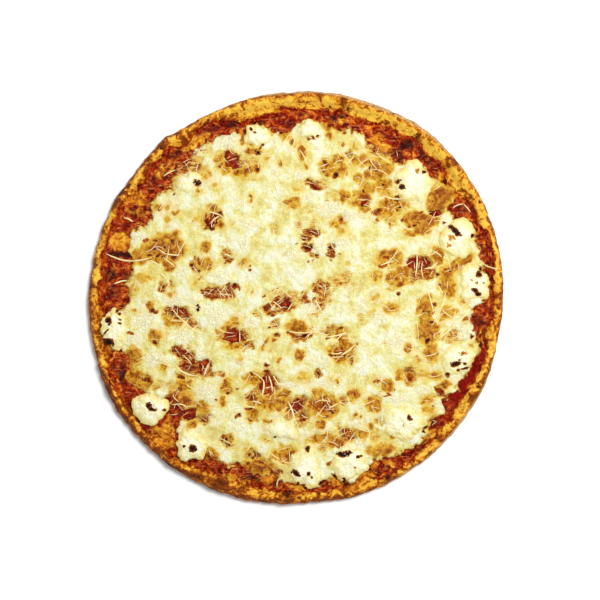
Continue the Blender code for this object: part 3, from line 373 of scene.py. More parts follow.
# Scorched places on the rim.
RIM_SCORCH = (
    (-98.5, 119, 5.5, 1.8, 35, 1.0), (-99, 110.5, 3.6, 1.6, -5, 0.9), (-94, 114, 2, 2.4, 0, 0.5),
    (-129, 79, 5, 1.6, 50, 1.0), (-123, 83, 3.6, 1.2, 15, 0.8), (-132.5, 74, 2, 4, 0, 0.85),
    (-139, 63, 1.2, 2, 0, 0.4), (-147.5, 25.5, 2.2, 2.6, 0, 0.8), (-151, 10, 1, 5, 0, 0.9),
    (-149, -9, 1.2, 2, 0, 0.6), (-148.5, -23, 1.4, 3, 0, 0.5), (-144.8, -51.5, 2.6, 2.8, 0, 1.0),
    (-147, -44, 1.6, 3, -20, 0.6), (-137, -65, 4.2, 2.4, -55, 0.95), (-133, -75, 9, 2.2, -60, 0.75),
    (-124, -88, 9, 2.6, -52, 0.65), (-113.5, -104, 2.8, 1.2, -30, 0.95), (-100, -110, 4, 1.6, -25, 0.6),
    (-93.5, -119.5, 4.6, 1.8, -28, 1.0), (-87, -123.5, 4, 1.2, -35, 0.9),
    (-73.5, -128, 6.6, 2.4, -18, 0.95), (-57, -133, 6, 3.4, -10, 0.85), (-51, -134, 2, 3, 0, 0.7),
    (-42, -139, 4, 1.4, -20, 0.6), (-25.5, -147, 4.4, 1.4, -20, 1.0), (-15, -145, 4, 1.4, 0, 0.75),
    (-6.5, -140.5, 4.4, 2.6, 0, 0.9), (-6, -146, 5, 2, 0, 0.7), (2.2, -144, 1.8, 1.5, 0, 0.85),
    (12, -145.5, 3, 1.6, 20, 0.6), (16, -141.8, 2.4, 1.4, 0, 0.7), (22, -144, 2.6, 0.9, 10, 0.7),
    (66, -128.5, 3.2, 2.6, 20, 1.0), (126.5, -71.5, 3.6, 2.2, 60, 0.85), (131.5, -62, 2.4, 2.2, 0, 0.9),
    (136.5, -54, 3.4, 1.2, 62, 0.65), (121, -79, 3, 1.2, 60, 0.5), (116, -88.5, 2.4, 1, 45, 0.6),
    (102, -100, 3, 1.2, 20, 0.7), (148, 18, 1.7, 1.8, 0, 0.9), (147.5, 4, 1.4, 1.8, 0, 0.7),
    (146, -12, 1.4, 2.6, 0, 0.45), (148, -3, 1.2, 2.4, 0, 0.6), (139.5, 58.5, 1.8, 2.8, 20, 0.9),
    (132.8, 72, 1.8, 1.6, 0, 0.9), (126, 76, 2.2, 1.4, -30, 0.75), (119.5, 80, 1.8, 1.6, 0, 0.75),
    (114, 101, 3.6, 2, -25, 0.85), (109, 103.5, 2.6, 0.9, -40, 0.7), (96, 113, 2.6, 0.8, -40, 0.6),
    (88, 119.5, 2.6, 2.4, 0, 0.85), (87, 114.5, 2, 1.8, 0, 0.85), (72, 135.5, 4, 0.8, -25, 0.6),
    (37, 138.5, 1.4, 2.8, 10, 0.85), (35, 142.5, 2.2, 1.6, 0, 0.7), (46, 142, 3.4, 0.8, -10, 0.5),
    (24, 140.5, 1.4, 1, 0, 0.7), (-10.5, 146, 1.6, 0.9, 0, 0.6), (-17, 146.4, 2.2, 0.9, 0, 0.5),
    (-38, 133.5, 1.6, 2, 0, 0.5), (-50, 141, 4, 1.2, 10, 0.7), (-56, 143, 3, 1, 20, 0.7),
    (7, 143.6, 1.4, 0.9, 0, 0.55),
)

# Places in the ring of sauce that baked golden or orange, where cheese ran into it.
SAUCE_GOLDEN = (
    (-129, 43, 6.5, 6, 0, 1.0), (-120, 74, 8, 3.4, 10, 0.95), (-114, 71, 6, 3, -10, 0.75),
    (-116, 64, 9, 3, -10, 0.5), (-97, 95, 9, 5, 30, 0.35), (-78, 113, 9, 5, 40, 0.45),
    (-69, 118, 6, 3, 30, 0.55), (-41, 121, 2, 5, 0, 0.6), (57, 117, 6, 4, 0, 0.7), (63, 109, 8, 5, 0, 0.6),
    (31, 130, 8, 3, 0, 0.35), (20, 140, 8, 2, 0, 0.5), (116, 84, 6, 5, 0, 0.85), (104, 90, 4, 6, 20, 0.5),
    (126, 55, 5, 4, -60, 0.45), (136, 3, 4, 4, 0, 0.35), (136, -26, 6, 4, 60, 0.55),
    (124, -13, 3, 1.6, 0, 0.6), (97, -99, 6, 2.6, 40, 0.6), (60, -112, 10, 3, 4, 0.8),
    (66, -121, 5, 4, 0, 0.4), (56, -123, 3, 4, 0, 0.7), (48, -128, 7, 4, 0, 0.8), (47, -124, 3, 2, 0, 0.8),
    (22, -128, 4, 3, 0, 0.5), (-4, -136, 3, 1.4, 0, 0.5), (-24, -131, 6, 2.4, 0, 0.75),
    (-18, -129, 5, 3, 0, 0.6), (-39, -133, 4, 4, 0, 0.65), (-48, -132, 4, 4, -40, 0.75),
    (-54, -129, 3, 3, 0, 0.5), (-100, -103, 9, 5, 0, 1.0), (-100, -95, 9, 4, 10, 0.55),
    (-93, -91, 3, 8, 0, 0.4), (-133, -37, 4, 2.4, 0, 0.3), (-134, 24, 3, 3, 0, 0.3),
    (35, -133, 7, 4, 10, 0.9), (113, 78, 4, 4, 0, 0.8), (1, -137, 4, 3, 0, 0.7), (28, -132, 4, 4, 0, 0.8),
    (-137, -35, 3, 4, 0, 0.9), (-119, -55, 6, 6, 0, 1.0), (-17, 138, 4, 2, 5, 1.0),
)

# Places in the sauce that caught and went nearly black.
SAUCE_DARK = (
    (80, 113, 6, 4, 10, 1.0), (73, 107, 4.4, 4, 0, 0.75), (74.5, 103, 3, 1.6, 20, 0.8),
    (92, 106, 6.5, 2.6, -52, 0.75), (-130, 33.5, 9, 2.4, -3, 1.0), (-121, 32, 3.6, 1.6, 0, 0.6),
    (-127.5, -56, 2.6, 5, -10, 0.85), (-127, -48, 3, 4, 0, 0.6), (-48, 129, 5, 3.6, 0, 0.8),
    (-29, 128.5, 5, 2.4, 10, 0.8), (-14.5, 133, 3.4, 2, 20, 0.5), (-6, 128, 4, 4.4, 0, 0.6),
    (3, 136, 6, 3, 0, 0.35), (33, 134, 4, 2, 0, 0.85), (26, 132.5, 3, 3, 0, 0.75),
    (20.5, 138.5, 3.4, 2.4, 0, 0.5), (108, 86.5, 4.6, 2, 20, 0.9), (97, 100, 5, 3, -45, 0.45),
    (-62, 125, 7, 3, 15, 0.5), (-88, 106, 6, 3, 30, 0.6), (-104, 88, 4, 4, 0, 0.4),
    (-137, 18, 5, 5, 0, 0.65), (-134, 5, 5, 5, 0, 0.5), (-125, 17, 4, 4, 0, 0.5),
    (-32, -129.5, 7, 2.2, -5, 0.75), (-17, -134.5, 4, 1.6, 10, 0.7), (133, -16, 6, 4, -40, 0.6),
    (128, -12, 3, 3, 0, 0.5), (132, -31, 3, 3, -40, 0.7), (119, 66, 5, 3.6, 0, 0.55),
    (128, 64, 3, 3, 0, 0.55), (120, -49, 4, 1.4, 20, 0.7), (106, -80, 4, 3, 50, 0.6),
    (91, -104, 4, 1.6, 30, 0.7), (-119, 63, 8, 3, -15, 0.4), (140, 25, 4, 3.4, -20, 0.4),
    (-106, -97, 4, 2, 20, 0.5), (-120, -79, 2, 3, 0, 0.4),
)

# Scorched flecks, as rows of (x, y, half length, half width, heading, burn): 0.3 is golden brown,
# 1 is black.
FLECKS = (
    (73, 86, 1.8, 1.4, 60, 0.75), (75.8, 82, 1.8, 1.4, -10, 0.95), (92, 93.2, 1.5, 1.2, 0, 0.95),
    (87.5, 94.5, 1.3, 2.3, -10, 0.25), (107, 56.4, 1.3, 0.9, -30, 0.95), (111.3, 53.2, 1.5, 1.2, 0, 0.9),
    (113.8, 50.6, 2.4, 1.7, -45, 1.0), (116.4, 48.2, 2, 1.6, -20, 0.95), (118.2, 47, 0.9, 0.8, 0, 0.8),
    (127, 46.5, 1.5, 1.4, 0, 0.85), (111, 44.5, 2, 2.6, 0, 0.22), (110.5, 39.7, 2, 1.5, -20, 0.25),
    (133, 22.5, 1.2, 1.7, 20, 0.95), (131.5, 18.6, 2.2, 2.4, 0, 0.8), (129, 7, 2.8, 1.5, -40, 0.75),
    (131, 4, 1.8, 1.4, 0, 1.0), (129.5, 12.4, 1.4, 1, 0, 0.3), (126, 14.5, 1, 0.8, 0, 0.3),
    (134.8, 12.6, 0.9, 0.8, 0, 0.3), (114.6, -46.6, 3.6, 2, 15, 1.0), (117.3, -43.6, 1.2, 1.3, 0, 0.4),
    (121.6, -46.2, 1.4, 1, 0, 0.75), (117.2, -50.7, 1.1, 0.7, 0, 1.0), (122, -49.6, 3, 0.8, 10, 0.9),
    (120.5, -38.6, 2.6, 1.6, 10, 0.22), (127, -26.5, 1.2, 1.6, 0, 0.9), (81, -85.2, 1.4, 2, 15, 0.9),
    (77, -90.3, 0.7, 1.6, -15, 0.25), (93.3, -92.6, 1.7, 1.2, -10, 1.0), (91.7, -95.4, 0.8, 1.6, 0, 0.7),
    (31.4, -112, 2.8, 1.9, -10, 1.0), (36.4, -111.4, 2.8, 2, 10, 1.0), (44, -113.8, 1.2, 0.9, 0, 0.9),
    (46, -113.3, 0.8, 0.6, 0, 0.8), (42, -121.4, 0.9, 0.8, 0, 0.3), (27, -128.4, 2.8, 1.1, -58, 0.8),
    (34, -131, 0.9, 2, 10, 0.95), (35.4, -134, 2.2, 1.5, 0, 0.95), (23, -119, 1.5, 1.3, 0, 0.4),
    (-1.4, -125.6, 2.8, 1.9, -40, 1.0), (1, -127.6, 1.5, 0.7, -20, 0.95), (7.8, -126, 1.5, 1.4, 0, 0.95),
    (9.9, -128.3, 0.6, 0.6, 0, 0.9), (0, -133.8, 1, 1.6, 0, 0.9), (4, -134.5, 1.9, 0.9, 0, 1.0),
    (17.5, -133.3, 2, 1.6, 20, 1.0), (7.6, -108, 1.4, 2, -25, 1.0), (-76, -107.6, 2.7, 2.4, 0, 1.0),
    (-82.5, -106.5, 0.8, 0.8, 0, 1.0), (-108, -76.4, 2, 2.2, 0, 0.9), (-105.4, -79, 3.2, 1.3, -12, 0.95),
    (-96.4, -80, 0.9, 0.9, 0, 0.9), (-137.6, -14.6, 2.3, 2.4, -30, 1.0), (-137.5, -30.4, 4.2, 2.4, -8, 1.0),
    (-139.5, -23.6, 3.2, 0.5, 48, 0.95), (-131, -8, 0.9, 1.2, 0, 0.9), (-129, -10, 0.9, 0.8, 0, 0.95),
    (-129, -14, 0.9, 0.8, 0, 0.6), (-129.2, -17, 1.3, 0.8, -10, 0.65), (-123, -23.4, 1.1, 0.8, 0, 0.4),
    (-120.3, -24.6, 1.9, 0.9, -15, 0.45), (8.3, 117, 1.4, 0.8, 20, 0.7), (11.5, 118, 1.1, 0.8, 0, 0.7),
    (14.7, 119.4, 0.8, 0.8, 0, 0.85), (-33.6, 124, 1.3, 1, -30, 0.85), (-31, 121.4, 1, 0.8, 0, 0.7),
    (-73.3, 85.4, 1.9, 2.7, 15, 0.9), (-28.6, 107.3, 2.2, 1.6, 0, 0.95),
    (-26.4, 110.6, 0.5, 1.4, -35, 0.75), (-25.1, 112.6, 0.9, 0.9, 0, 0.8), (28, 90.8, 1.6, 1.4, 0, 0.95),
    (-101, 66.1, 0.7, 1.3, -20, 0.9), (-89.8, 76.6, 1.3, 0.7, 30, 0.85), (-72.2, -6, 1.1, 2.3, -12, 1.0),
    (-76.9, 25.6, 1.5, 1.2, 0, 0.9), (-72, 21.2, 1.7, 0.8, 0, 0.85), (-50.8, -67.4, 1.3, 1.2, 0, 1.0),
    (-59.5, -72.4, 1.1, 0.6, -40, 1.0), (-42.5, -83.2, 1.3, 1.1, 0, 0.95), (-45.1, -84.8, 0.8, 0.7, 0, 0.9),
    (-16.3, -99.8, 1.1, 0.7, -10, 1.0), (73, 4.2, 1.2, 1.3, 0, 0.85), (101.8, 18.6, 1.4, 1.1, 0, 0.95),
    (59.3, -58.2, 1.2, 1, 0, 0.85), (70.5, -65.6, 0.7, 0.7, 0, 1.0), (43.6, -32, 0.6, 0.7, 0, 0.9),
    (39.4, -46.5, 0.7, 0.7, 0, 0.95), (-20.5, -19.8, 1, 0.8, 0, 1.0), (15.4, -53.6, 1.2, 2.2, 20, 0.7),
    (-22.6, -47.7, 1.5, 1.2, 0, 0.9), (-15.4, -24.8, 2.2, 1.1, 10, 0.85), (-95.7, 34.4, 1.2, 0.9, 0, 1.0),
    (-98.2, 31.7, 1.3, 0.6, 40, 1.0), (85, 54, 1.5, 1, 0, 0.95), (109, -54, 1.6, 1.2, -20, 0.9),
    (-35, 22.1, 0.9, 0.7, 0, 0.75), (-34.2, 24.6, 0.5, 0.5, 0, 0.75), (31, 33.4, 0.7, 0.6, 0, 0.5),
    (0.2, 41.5, 0.6, 0.6, 0, 0.55), (8.3, 28.2, 0.6, 0.6, 0, 0.6), (11.7, 29.5, 0.7, 0.5, 0, 0.6),
    (7, 37.6, 1.8, 1.1, 0, 1.0), (10.2, 38.6, 1, 1.4, 0, 0.9), (13.4, 32.8, 1.7, 0.7, 0, 0.9),
    (24, 38.4, 1.2, 2.4, -10, 0.95), (22, 32.2, 1.4, 0.8, 0, 0.85), (29.3, -60.2, 0.6, 0.6, 0, 0.9),
    (98.8, -77.4, 0.6, 0.5, 0, 0.8), (-52, -101, 1, 1.7, 10, 0.9), (-50, -105.6, 0.7, 1.6, 30, 0.8),
    (74.5, 67.6, 1.5, 0.9, -10, 1.0), (72.6, 65, 1.2, 0.8, 0, 0.8), (72.4, 75.4, 2, 0.6, 0, 0.85),
    (62.6, 84, 1.4, 1, -20, 0.85), (48.2, 79, 1, 1.4, 0, 0.8), (97.8, -15.8, 1.2, 0.8, 0, 1.0),
    (91.6, -8, 1.4, 0.7, 20, 0.9), (-6.6, -23.2, 1, 0.9, 0, 0.9), (3.6, -26.2, 2, 0.9, 10, 0.95),
    (-40.8, -26.6, 1, 0.8, 0, 0.95), (-104, -31, 1.3, 1.1, 30, 0.8),
)

# Long grated shreds, as rows of (x, y at one end, x, y at the other, bow to the left, width).
SHREDS = (
    (-140, 34, -106, 31, -4.0, 1.3), (-134, 11.7, -124, 14, 0.6, 1.2), (-98, 31, -88, 23, 0.4, 0.9),
    (-108, 29, -99, 23, 0.8, 1.0), (-103, 38, -84, 33, -2.2, 0.9), (-119, 16, -112, 10, -0.6, 0.8),
    (-110, 16, -104, 11, -0.4, 0.8), (-101, 20, -93, 10, 1.4, 0.9), (-92, -6, -69, -26, -1.4, 1.0),
    (-90, -45, -72, -55, -3.4, 1.2), (-65, -46, -69, -56, 0.4, 1.1), (-84, -40, -77, -48, 0.8, 0.7),
    (-92, -76.5, -80, -78.5, 1.8, 1.0), (-67, 64, -54, 60, 1.4, 1.0), (-63, 56, -57, 61.5, 0.3, 1.0),
    (-98, 90, -89, 95, 0.6, 1.0), (-127, 60, -120, 57, 0.6, 1.1), (-8, 115, 3, 97, -1.0, 0.8),
    (1, 110, 7, 98, 0.8, 0.7), (14, 103, 22, 104, 0.7, 0.9), (32, 107, 40, 98, 0.6, 0.7),
    (63, 75.5, 77, 74, -1.2, 1.0), (78, 76, 82, 70, 0.8, 0.8), (113, 67, 121, 70, 0.6, 0.9),
    (121, 70, 126, 64, 0.4, 0.8), (132, 29, 148, 22.5, -1.6, 1.0), (87, 36, 86, 17, 0.5, 1.0),
    (92, 23, 102, 28, -1.8, 1.2), (60, 25, 69, 28, 0.3, 0.9), (60, 21, 72, 22, 0.4, 0.7),
    (98, 36, 105, 31, 0.6, 0.9), (94, 8, 99, -10, 0.6, 0.9), (108, 6, 101, -13, 0.9, 1.1),
    (102, 11, 106, 4, 0.3, 0.8), (127, -5, 103, -28, 1.0, 1.2), (105, -7, 113, -13, -0.4, 0.7),
    (-18, -1, -11, -7, 0.3, 1.0), (-3.5, -2, -7.4, -8, 0.2, 1.0), (-21, 4, -10, 9, 0.6, 0.7),
    (-19, 1, -8, 6, 0.6, 0.6), (12, 1, 18, -10, 0.5, 0.9), (20, 12, 19.5, 2, 0.3, 0.7),
    (-8, -22, 10, -23, -1.6, 1.0), (9, -23, 22, -26, 0.6, 1.0), (20, -27, 36, -23.5, -0.8, 1.0),
    (24, -38.5, 33, -38, -0.9, 0.9), (31, -40.5, 42, -32.5, -0.6, 1.2), (25, -41.5, 34, -41, -0.5, 0.8),
    (36, -23, 38, -31, 0.8, 0.8), (-42, -23, -42.5, -31, 0.2, 0.8), (-33, -53, -25, -59, 1.0, 1.0),
    (-25, -58, -26, -70, 0.8, 1.2), (-21, -55, -18.4, -67, 0.5, 1.0), (-18, -55, -14, -62, 0.3, 1.0),
    (-7, -74, -2, -88, 0.7, 1.3), (-2, -87, 1, -95, 0.3, 0.8), (-19, -111.5, -13, -116, -0.4, 0.9),
    (-11, -129, -15, -137, -1.6, 1.1), (12, -76, 24, -75, 2.6, 0.8), (14, -81, 21, -85, -1.6, 0.7),
    (86, -61, 94, -56, 1.5, 0.8), (54, -63, 66, -69, -1.6, 0.7), (29, -74, 36, -77, 0.4, 0.8),
    (-34, -74, -26, -76, 0.8, 1.1), (-37, -78, -30, -79, 0.5, 1.0), (-34, -63, -38, -71, 0.8, 0.6),
    (64, 81, 73, 79, 0.4, 0.8), (36, 22, 45, 30, 0.6, 0.8), (-92, -15, -84, -16, 0.4, 0.7),
    (105, 84, 99, 80, 0.3, 0.8),
)

# Dollops of soft white cheese: (x, y, half length, half width, heading, height over the sheet).
DOLLOPS = (
    (84, 85, 15.6, 13.6, 100, 3.2), (116, 45, 13.8, 12.0, 75, 3.0), (128, 12, 13.8, 10.8, 100, 3.2),
    (116, -43, 12.5, 10.5, 20, 3.0), (77, -89, 16.5, 12.0, -15, 3.3), (38, -118, 13.5, 11.5, 20, 3.0),
    (6, -122, 14.5, 11.5, 95, 3.3), (-77, -105.5, 11.8, 11.0, 100, 3.2), (-107, -79, 13.2, 11.0, 10, 3.3),
    (-133.5, -22, 14.5, 9.5, 98, 3.2), (-29, 119, 10.0, 7.5, -20, 2.6), (9, 124, 8.5, 7.0, 0, 2.8),
    (-79, 85, 9.5, 7.0, 20, 2.4), (-12, -94, 12.5, 7.0, -15, 2.6),
)
DOLLOP_BOTTOM = SAUCE_TOP - 0.5
# Steps of a dollop's mesh round it and from its middle out, and how square it is: 2 is an oval.
DOLLOP_SIDES = 120
DOLLOP_RINGS = 34
DOLLOP_SQUARENESS = 2.3
# How far a dollop and its foot stay from the edge of the dough.
DOLLOP_RIM_CLEARANCE = 6.6
DOLLOP_FOOT_CLEARANCE = 14.6

# Gaps whose half length times half width is more than this have hazy cheese round them.
WIDE_GAP = 18
# How far out the scattered shreds and the threads over the gaps go.
FINE_SHRED_REACH = 122
THREAD_REACH = 138
SHRED_SEED = 4
FLECK_SEED = 11

# --- Stage ----------------------------------------------------------------------------------------

# Heights on a sphere of light round the pizza, 0 to 1, between which its walls dim to the ceiling.
WALL_END = 0.45
CEILING_START = 0.8
# In metres: how far the floor runs each way, how far it lies under the pizza, the lamp's size and
# place, and how far to one side of the dough's middle the camera hangs.
GROUND_REACH = 3.0
GROUND_DROP = 0.0004
LAMP_SIZE = 0.35
LAMP_PLACE = (0.32, 0.28, 1.02)
CAMERA_SHIFT = 0.0018
# In millimetres, as the lens is.
SENSOR_WIDTH = 36.0


# --- Places and noise -----------------------------------------------------------------------------


def soft_noise(x, y, size, layer=0.0, octaves=1):
    """Smooth noise between about -1 and 1 over arrays of places, with features of this size.

    Noise of several octaves is turned, so that its grid doesn't line up with that of a plain one."""
    if octaves > 1:
        x, y = 0.8 * x - 0.6 * y, 0.6 * x + 0.8 * y
    x, y, layer = np.broadcast_arrays(x, y, layer)
    places = zip((x / size).ravel().tolist(), (y / size).ravel().tolist(), layer.ravel().tolist())
    if octaves == 1:
        values = [noise.noise(place) for place in places]
    else:
        values = [noise.fractal(place, 1.0, 2.0, octaves) for place in places]
    return np.array(values).reshape(x.shape)


def fade(value, start, end):
    """0 at start, 1 at end and smooth between."""
    share = np.clip((value - start) / (end - start), 0, 1)
    return share * share * (3 - 2 * share)


def bumps(angle, rows):
    """Sum of rounded bumps round the pizza, from rows of (angle, height, spread)."""
    return sum(
        height * np.exp(-((((angle - at + 180) % 360 - 180) / spread) ** 2))
        for at, height, spread in rows
    )


def reach(angle, rows):
    """A distance that changes round the pizza, from rows of (angle, distance)."""
    return np.interp(angle, *np.transpose(rows), period=360)


def polar(x, y):
    """Distance and angle of places from the middle of the dough."""
    return np.hypot(x, y), np.degrees(np.arctan2(y, x))


def dough_edge(angle):
    """How far out the dough reaches."""
    lobes = sum(
        swing * np.cos(np.radians(count * (angle - peak))) for count, swing, peak in DOUGH_LOBES
    )
    return DOUGH_RADIUS + lobes + bumps(angle, [(at, out, spread) for at, out, _, spread in BLISTERS])


def rim_rise(angle):
    """How much higher or lower than its section the rim is baked."""
    around = np.arange(0, 360, 0.5)
    turn = np.radians(around)
    waves = soft_noise(14 * np.cos(turn), 14 * np.sin(turn), 1, 14 * 0.3)
    blisters = bumps(angle, [(at, up, spread) for at, _, up, spread in BLISTERS])
    return CREST_SWING * np.interp(angle, around, waves, period=360) + blisters


def rise_share(height):
    """How much of the rim's rise and fall a height of its section takes on."""
    return np.clip((height - FLOOR_HEIGHT) / (CREST_HEIGHT - FLOOR_HEIGHT), 0, None)


def walked_along(path):
    """How far along a path each of its points lies."""
    return np.concatenate([[0], np.cumsum(np.hypot(*np.diff(path, axis=0).T))])


def smooth_path(points, steps):
    """Evenly spaced places along a smooth curve through these points."""
    ends = [2 * np.array(points[0]) - points[1], 2 * np.array(points[-1]) - points[-2]]
    knots = np.array([ends[0], *points, ends[1]], float)
    share = np.linspace(0, 1, 24, endpoint=False)[:, None]
    spans = [
        0.5 * (2 * b + (c - a) * share + (2 * a - 5 * b + 4 * c - d) * share**2
               + (3 * b - a - 3 * c + d) * share**3)
        for a, b, c, d in zip(knots, knots[1:], knots[2:], knots[3:])
    ]
    curve = np.vstack([*spans, knots[-2:-1]])
    walked = walked_along(curve)
    even = np.linspace(0, walked[-1], steps)
    return np.column_stack([np.interp(even, walked, curve[:, i]) for i in (0, 1)])


def dough_height(x, y):
    """Height of the inside of the rim, and of the floor it runs down to."""
    radius, angle = polar(x, y)
    section = smooth_path(RIM_SECTION, 400)
    inner = section[section[:, 0].argmin():]
    inner = inner[inner[:, 0] >= CREST_INSET]
    height = np.interp(dough_edge(angle) - radius, inner[:, 0], inner[:, 1])
    return height + rise_share(height) * rim_rise(angle)


def oval_share(x, y, row):
    """How far out each place is from the middle of a row's oval, where 1 is its edge."""
    centre_x, centre_y, half_length, half_width, heading, _ = row
    turn = math.radians(heading)
    across, up = x - centre_x, y - centre_y
    along = (across * math.cos(turn) + up * math.sin(turn)) / half_length
    side = (up * math.cos(turn) - across * math.sin(turn)) / half_width
    return np.hypot(along, side)


def oval_place(row, along, side):
    """The place this far along and beside the middle of a row's oval."""
    centre_x, centre_y, _, _, heading, _ = row
    turn = math.radians(heading)
    x = centre_x + along * math.cos(turn) - side * math.sin(turn)
    y = centre_y + along * math.sin(turn) + side * math.cos(turn)
    return x, y


def patches(x, y, rows, ragged=1.2, border=0.35, layer=0.0):
    """How strongly each place is covered by patches, 0 to 1, with ragged and faded borders."""
    x, y = (
        x + ragged * soft_noise(x, y, 4.5, layer + 0.3, 3),
        y + ragged * soft_noise(x, y, 4.5, layer + 9.7, 3),
    )
    cover = np.zeros(x.shape)
    for row in rows:
        centre_x, centre_y, half_length, half_width, _, strength = row
        limit = (1 + border) * max(half_length, half_width)
        near = (np.abs(x - centre_x) < limit) & (np.abs(y - centre_y) < limit)
        inside = fade(oval_share(x[near], y[near], row), 1 + border, 1 - border)
        cover[near] = np.maximum(cover[near], strength * inside)
    return cover


def grown(rows, by, strength=None):
    """The same patches, larger all round by this much."""
    return [
        (x, y, half_length + by, half_width + by, heading, last if strength is None else strength)
        for x, y, half_length, half_width, heading, last in rows
    ]


def dough_middle():
    """Middle of the box round the dough's outline."""
    angle = np.arange(128) * 360 / 128
    widest = dough_edge(angle) - min(inset for inset, _ in RIM_SECTION)
    sides = (widest * np.cos(np.radians(angle)), widest * np.sin(np.radians(angle)))
    return [(side.min() + side.max()) / 2 for side in sides]


MIDDLE_X, MIDDLE_Y = dough_middle()


# --- Heights and thickness ------------------------------------------------------------------------


def swell(x, y):
    """Rise and fall of the melted cheese, as in the frame's sheet."""
    long_waves = soft_noise(x, y, SWELL_LONG, 2.0)
    short_waves = soft_noise(x, y, SWELL_SHORT, 5.0)
    return SWELL_LONG_HEIGHT * long_waves + SWELL_SHORT_HEIGHT * short_waves


def sauce_inset(x, y):
    """How far inside the ragged outer edge of the sauce each place is."""
    radius, angle = polar(x, y)
    ragged = 2.2 * soft_noise(x, y, 4.5, 6.1, 3)
    return dough_edge(angle) - radius - reach(angle, SAUCE_REACH) - ragged - 1.6


def glossy_sauce(x, y):
    """Where the sauce lies smooth and wet, 0 to 1."""
    radius, angle = polar(x, y)
    return np.clip(bumps(angle, SAUCE_GLOSS), 0, 1) * fade(radius, 120, 128)


def sauce_height(x, y):
    """Top of the sauce: pulpy on the floor, thinning to a film at its edge."""
    inset = sauce_inset(x, y)
    lumps = 0.6 * soft_noise(x, y, 5.5, 1.4, 3) + 0.3 * soft_noise(x, y, 2.4, 3.8, 2)
    pulpy = SAUCE_TOP + lumps * (1 - 0.85 * glossy_sauce(x, y)) - 3 * fade(inset, 3.5, -0.5)
    film = SAUCE_FILM * np.clip(inset / 1.2, -1.6, 1.0)
    return np.maximum(pulpy, dough_height(x, y) + film + 0.35 * np.minimum(lumps, 0.3))


def curd_share(x, y):
    """Where the thicker white places are, 0 to 1."""
    return patches(x, y, CURDS, ragged=1.0, border=0.6, layer=4.0)


def cheese_share(x, y):
    """How thick the melted cheese is: 0 is none and 1 the thickest."""
    radius, angle = polar(x, y)
    lumps = 0.24 * soft_noise(x, y, 13.0, 2.2, 2) + 0.24 * soft_noise(x, y, 4.6, 7.7, 3)
    curds = 0.3 * curd_share(x, y)
    round_dollops = 0.3 * fade(dollop_share(x, y), 1.35, 0.95)
    melted = 0.7 + lumps + np.maximum(curds, round_dollops)
    gaps = patches(x, y, grown(GAPS, 1.1), ragged=2.4, border=0.45, layer=1.0)
    wide_gaps = [row for row in GAPS if row[2] * row[3] > WIDE_GAP]
    haze = patches(x, y, grown(wide_gaps, 3.0), ragged=3.0, border=0.7, layer=1.0)
    ragged = 3.4 * soft_noise(x, y, 7.0, 8.8, 3) + 2.4 * soft_noise(x, y, 2.8, 1.8, 2)
    edge = reach(angle, CHEESE_REACH) + ragged
    width = 5.0 + bumps(angle, CHEESE_VEILS)
    return melted * (1 - gaps) * (1 - 0.45 * haze) * fade(edge + 1.0 - radius, 0.0, width)


def cheese_height(x, y, share):
    """Top of the melted cheese, higher where it is thicker."""
    above = np.interp(share, *np.transpose(CHEESE_RISE))
    lumps = 0.55 * soft_noise(x, y, 3.6, 4.9, 3) + 0.3 * soft_noise(x, y, 1.9, 0.9, 2)
    return SAUCE_TOP + above + (swell(x, y) + lumps) * fade(share, 0.1, 0.5)


def dollop_share(x, y):
    """How far out each place is from the nearest dollop's middle, where 1 is its edge."""
    return np.min([oval_share(x, y, row) for row in DOLLOPS], axis=0)


# --- Meshes ---------------------------------------------------------------------------------------


def make_piece(name, points, faces, values, material, atlas=None):
    """A mesh object from places in millimetres about the middle of the dough.

    values holds one array for each named attribute of its points, and atlas the places where its
    points lie when the surface is spread flat."""
    points = (np.asarray(points, float) - (MIDDLE_X, MIDDLE_Y, 0)) * MM
    mesh = bpy.data.meshes.new(name)
    mesh.from_pydata(points, [], faces)
    for key, numbers in values.items():
        layer = mesh.attributes.new(key, "FLOAT", "POINT")
        layer.data.foreach_set("value", np.asarray(numbers, np.float32).ravel())
    if atlas is not None:
        corners = np.empty(len(mesh.loops), np.int32)
        mesh.loops.foreach_get("vertex_index", corners)
        layer = mesh.uv_layers.new(name="OFBake")
        layer.data.foreach_set("uv", np.asarray(atlas, np.float32)[corners].ravel())
    mesh.shade_smooth()
    mesh.materials.append(material)
    mesh.update()
    piece = bpy.data.objects.new(name, mesh)
    bpy.context.scene.collection.objects.link(piece)
    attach(piece, "root")
    return piece


def ring_faces(rings, sides):
    """Quads between rings of points that follow one another, then a face over each end."""
    corners = np.arange(rings * sides).reshape(rings, sides)
    onward = np.roll(corners, -1, axis=1)
    quads = np.stack([corners[:-1], onward[:-1], onward[1:], corners[1:]], axis=-1)
    return quads.reshape(-1, 4).tolist() + [corners[0][::-1].tolist(), corners[-1].tolist()]


def moved_faces(faces, start):
    """The same faces for points that come this far down a list."""
    return [[start + corner for corner in face] for face in faces]


def flat_atlas(x, y):
    """Places on the unit square for a surface seen from above."""
    return np.column_stack([np.ravel(x), np.ravel(y)]) / (2 * (DOUGH_RADIUS + 8)) + 0.5


def drop_corner_contacts(kept):
    """Clears cells that touch others at one corner only, so that the sheet has no pinched points."""
    while True:
        a, b = kept[:-1, :-1], kept[1:, 1:]
        c, d = kept[1:, :-1], kept[:-1, 1:]
        falling, rising = a & b & ~c & ~d, c & d & ~a & ~b
        if not (falling.any() or rising.any()):
            return kept
        kept = kept.copy()
        kept[:-1, :-1] &= ~falling
        kept[1:, :-1] &= ~rising


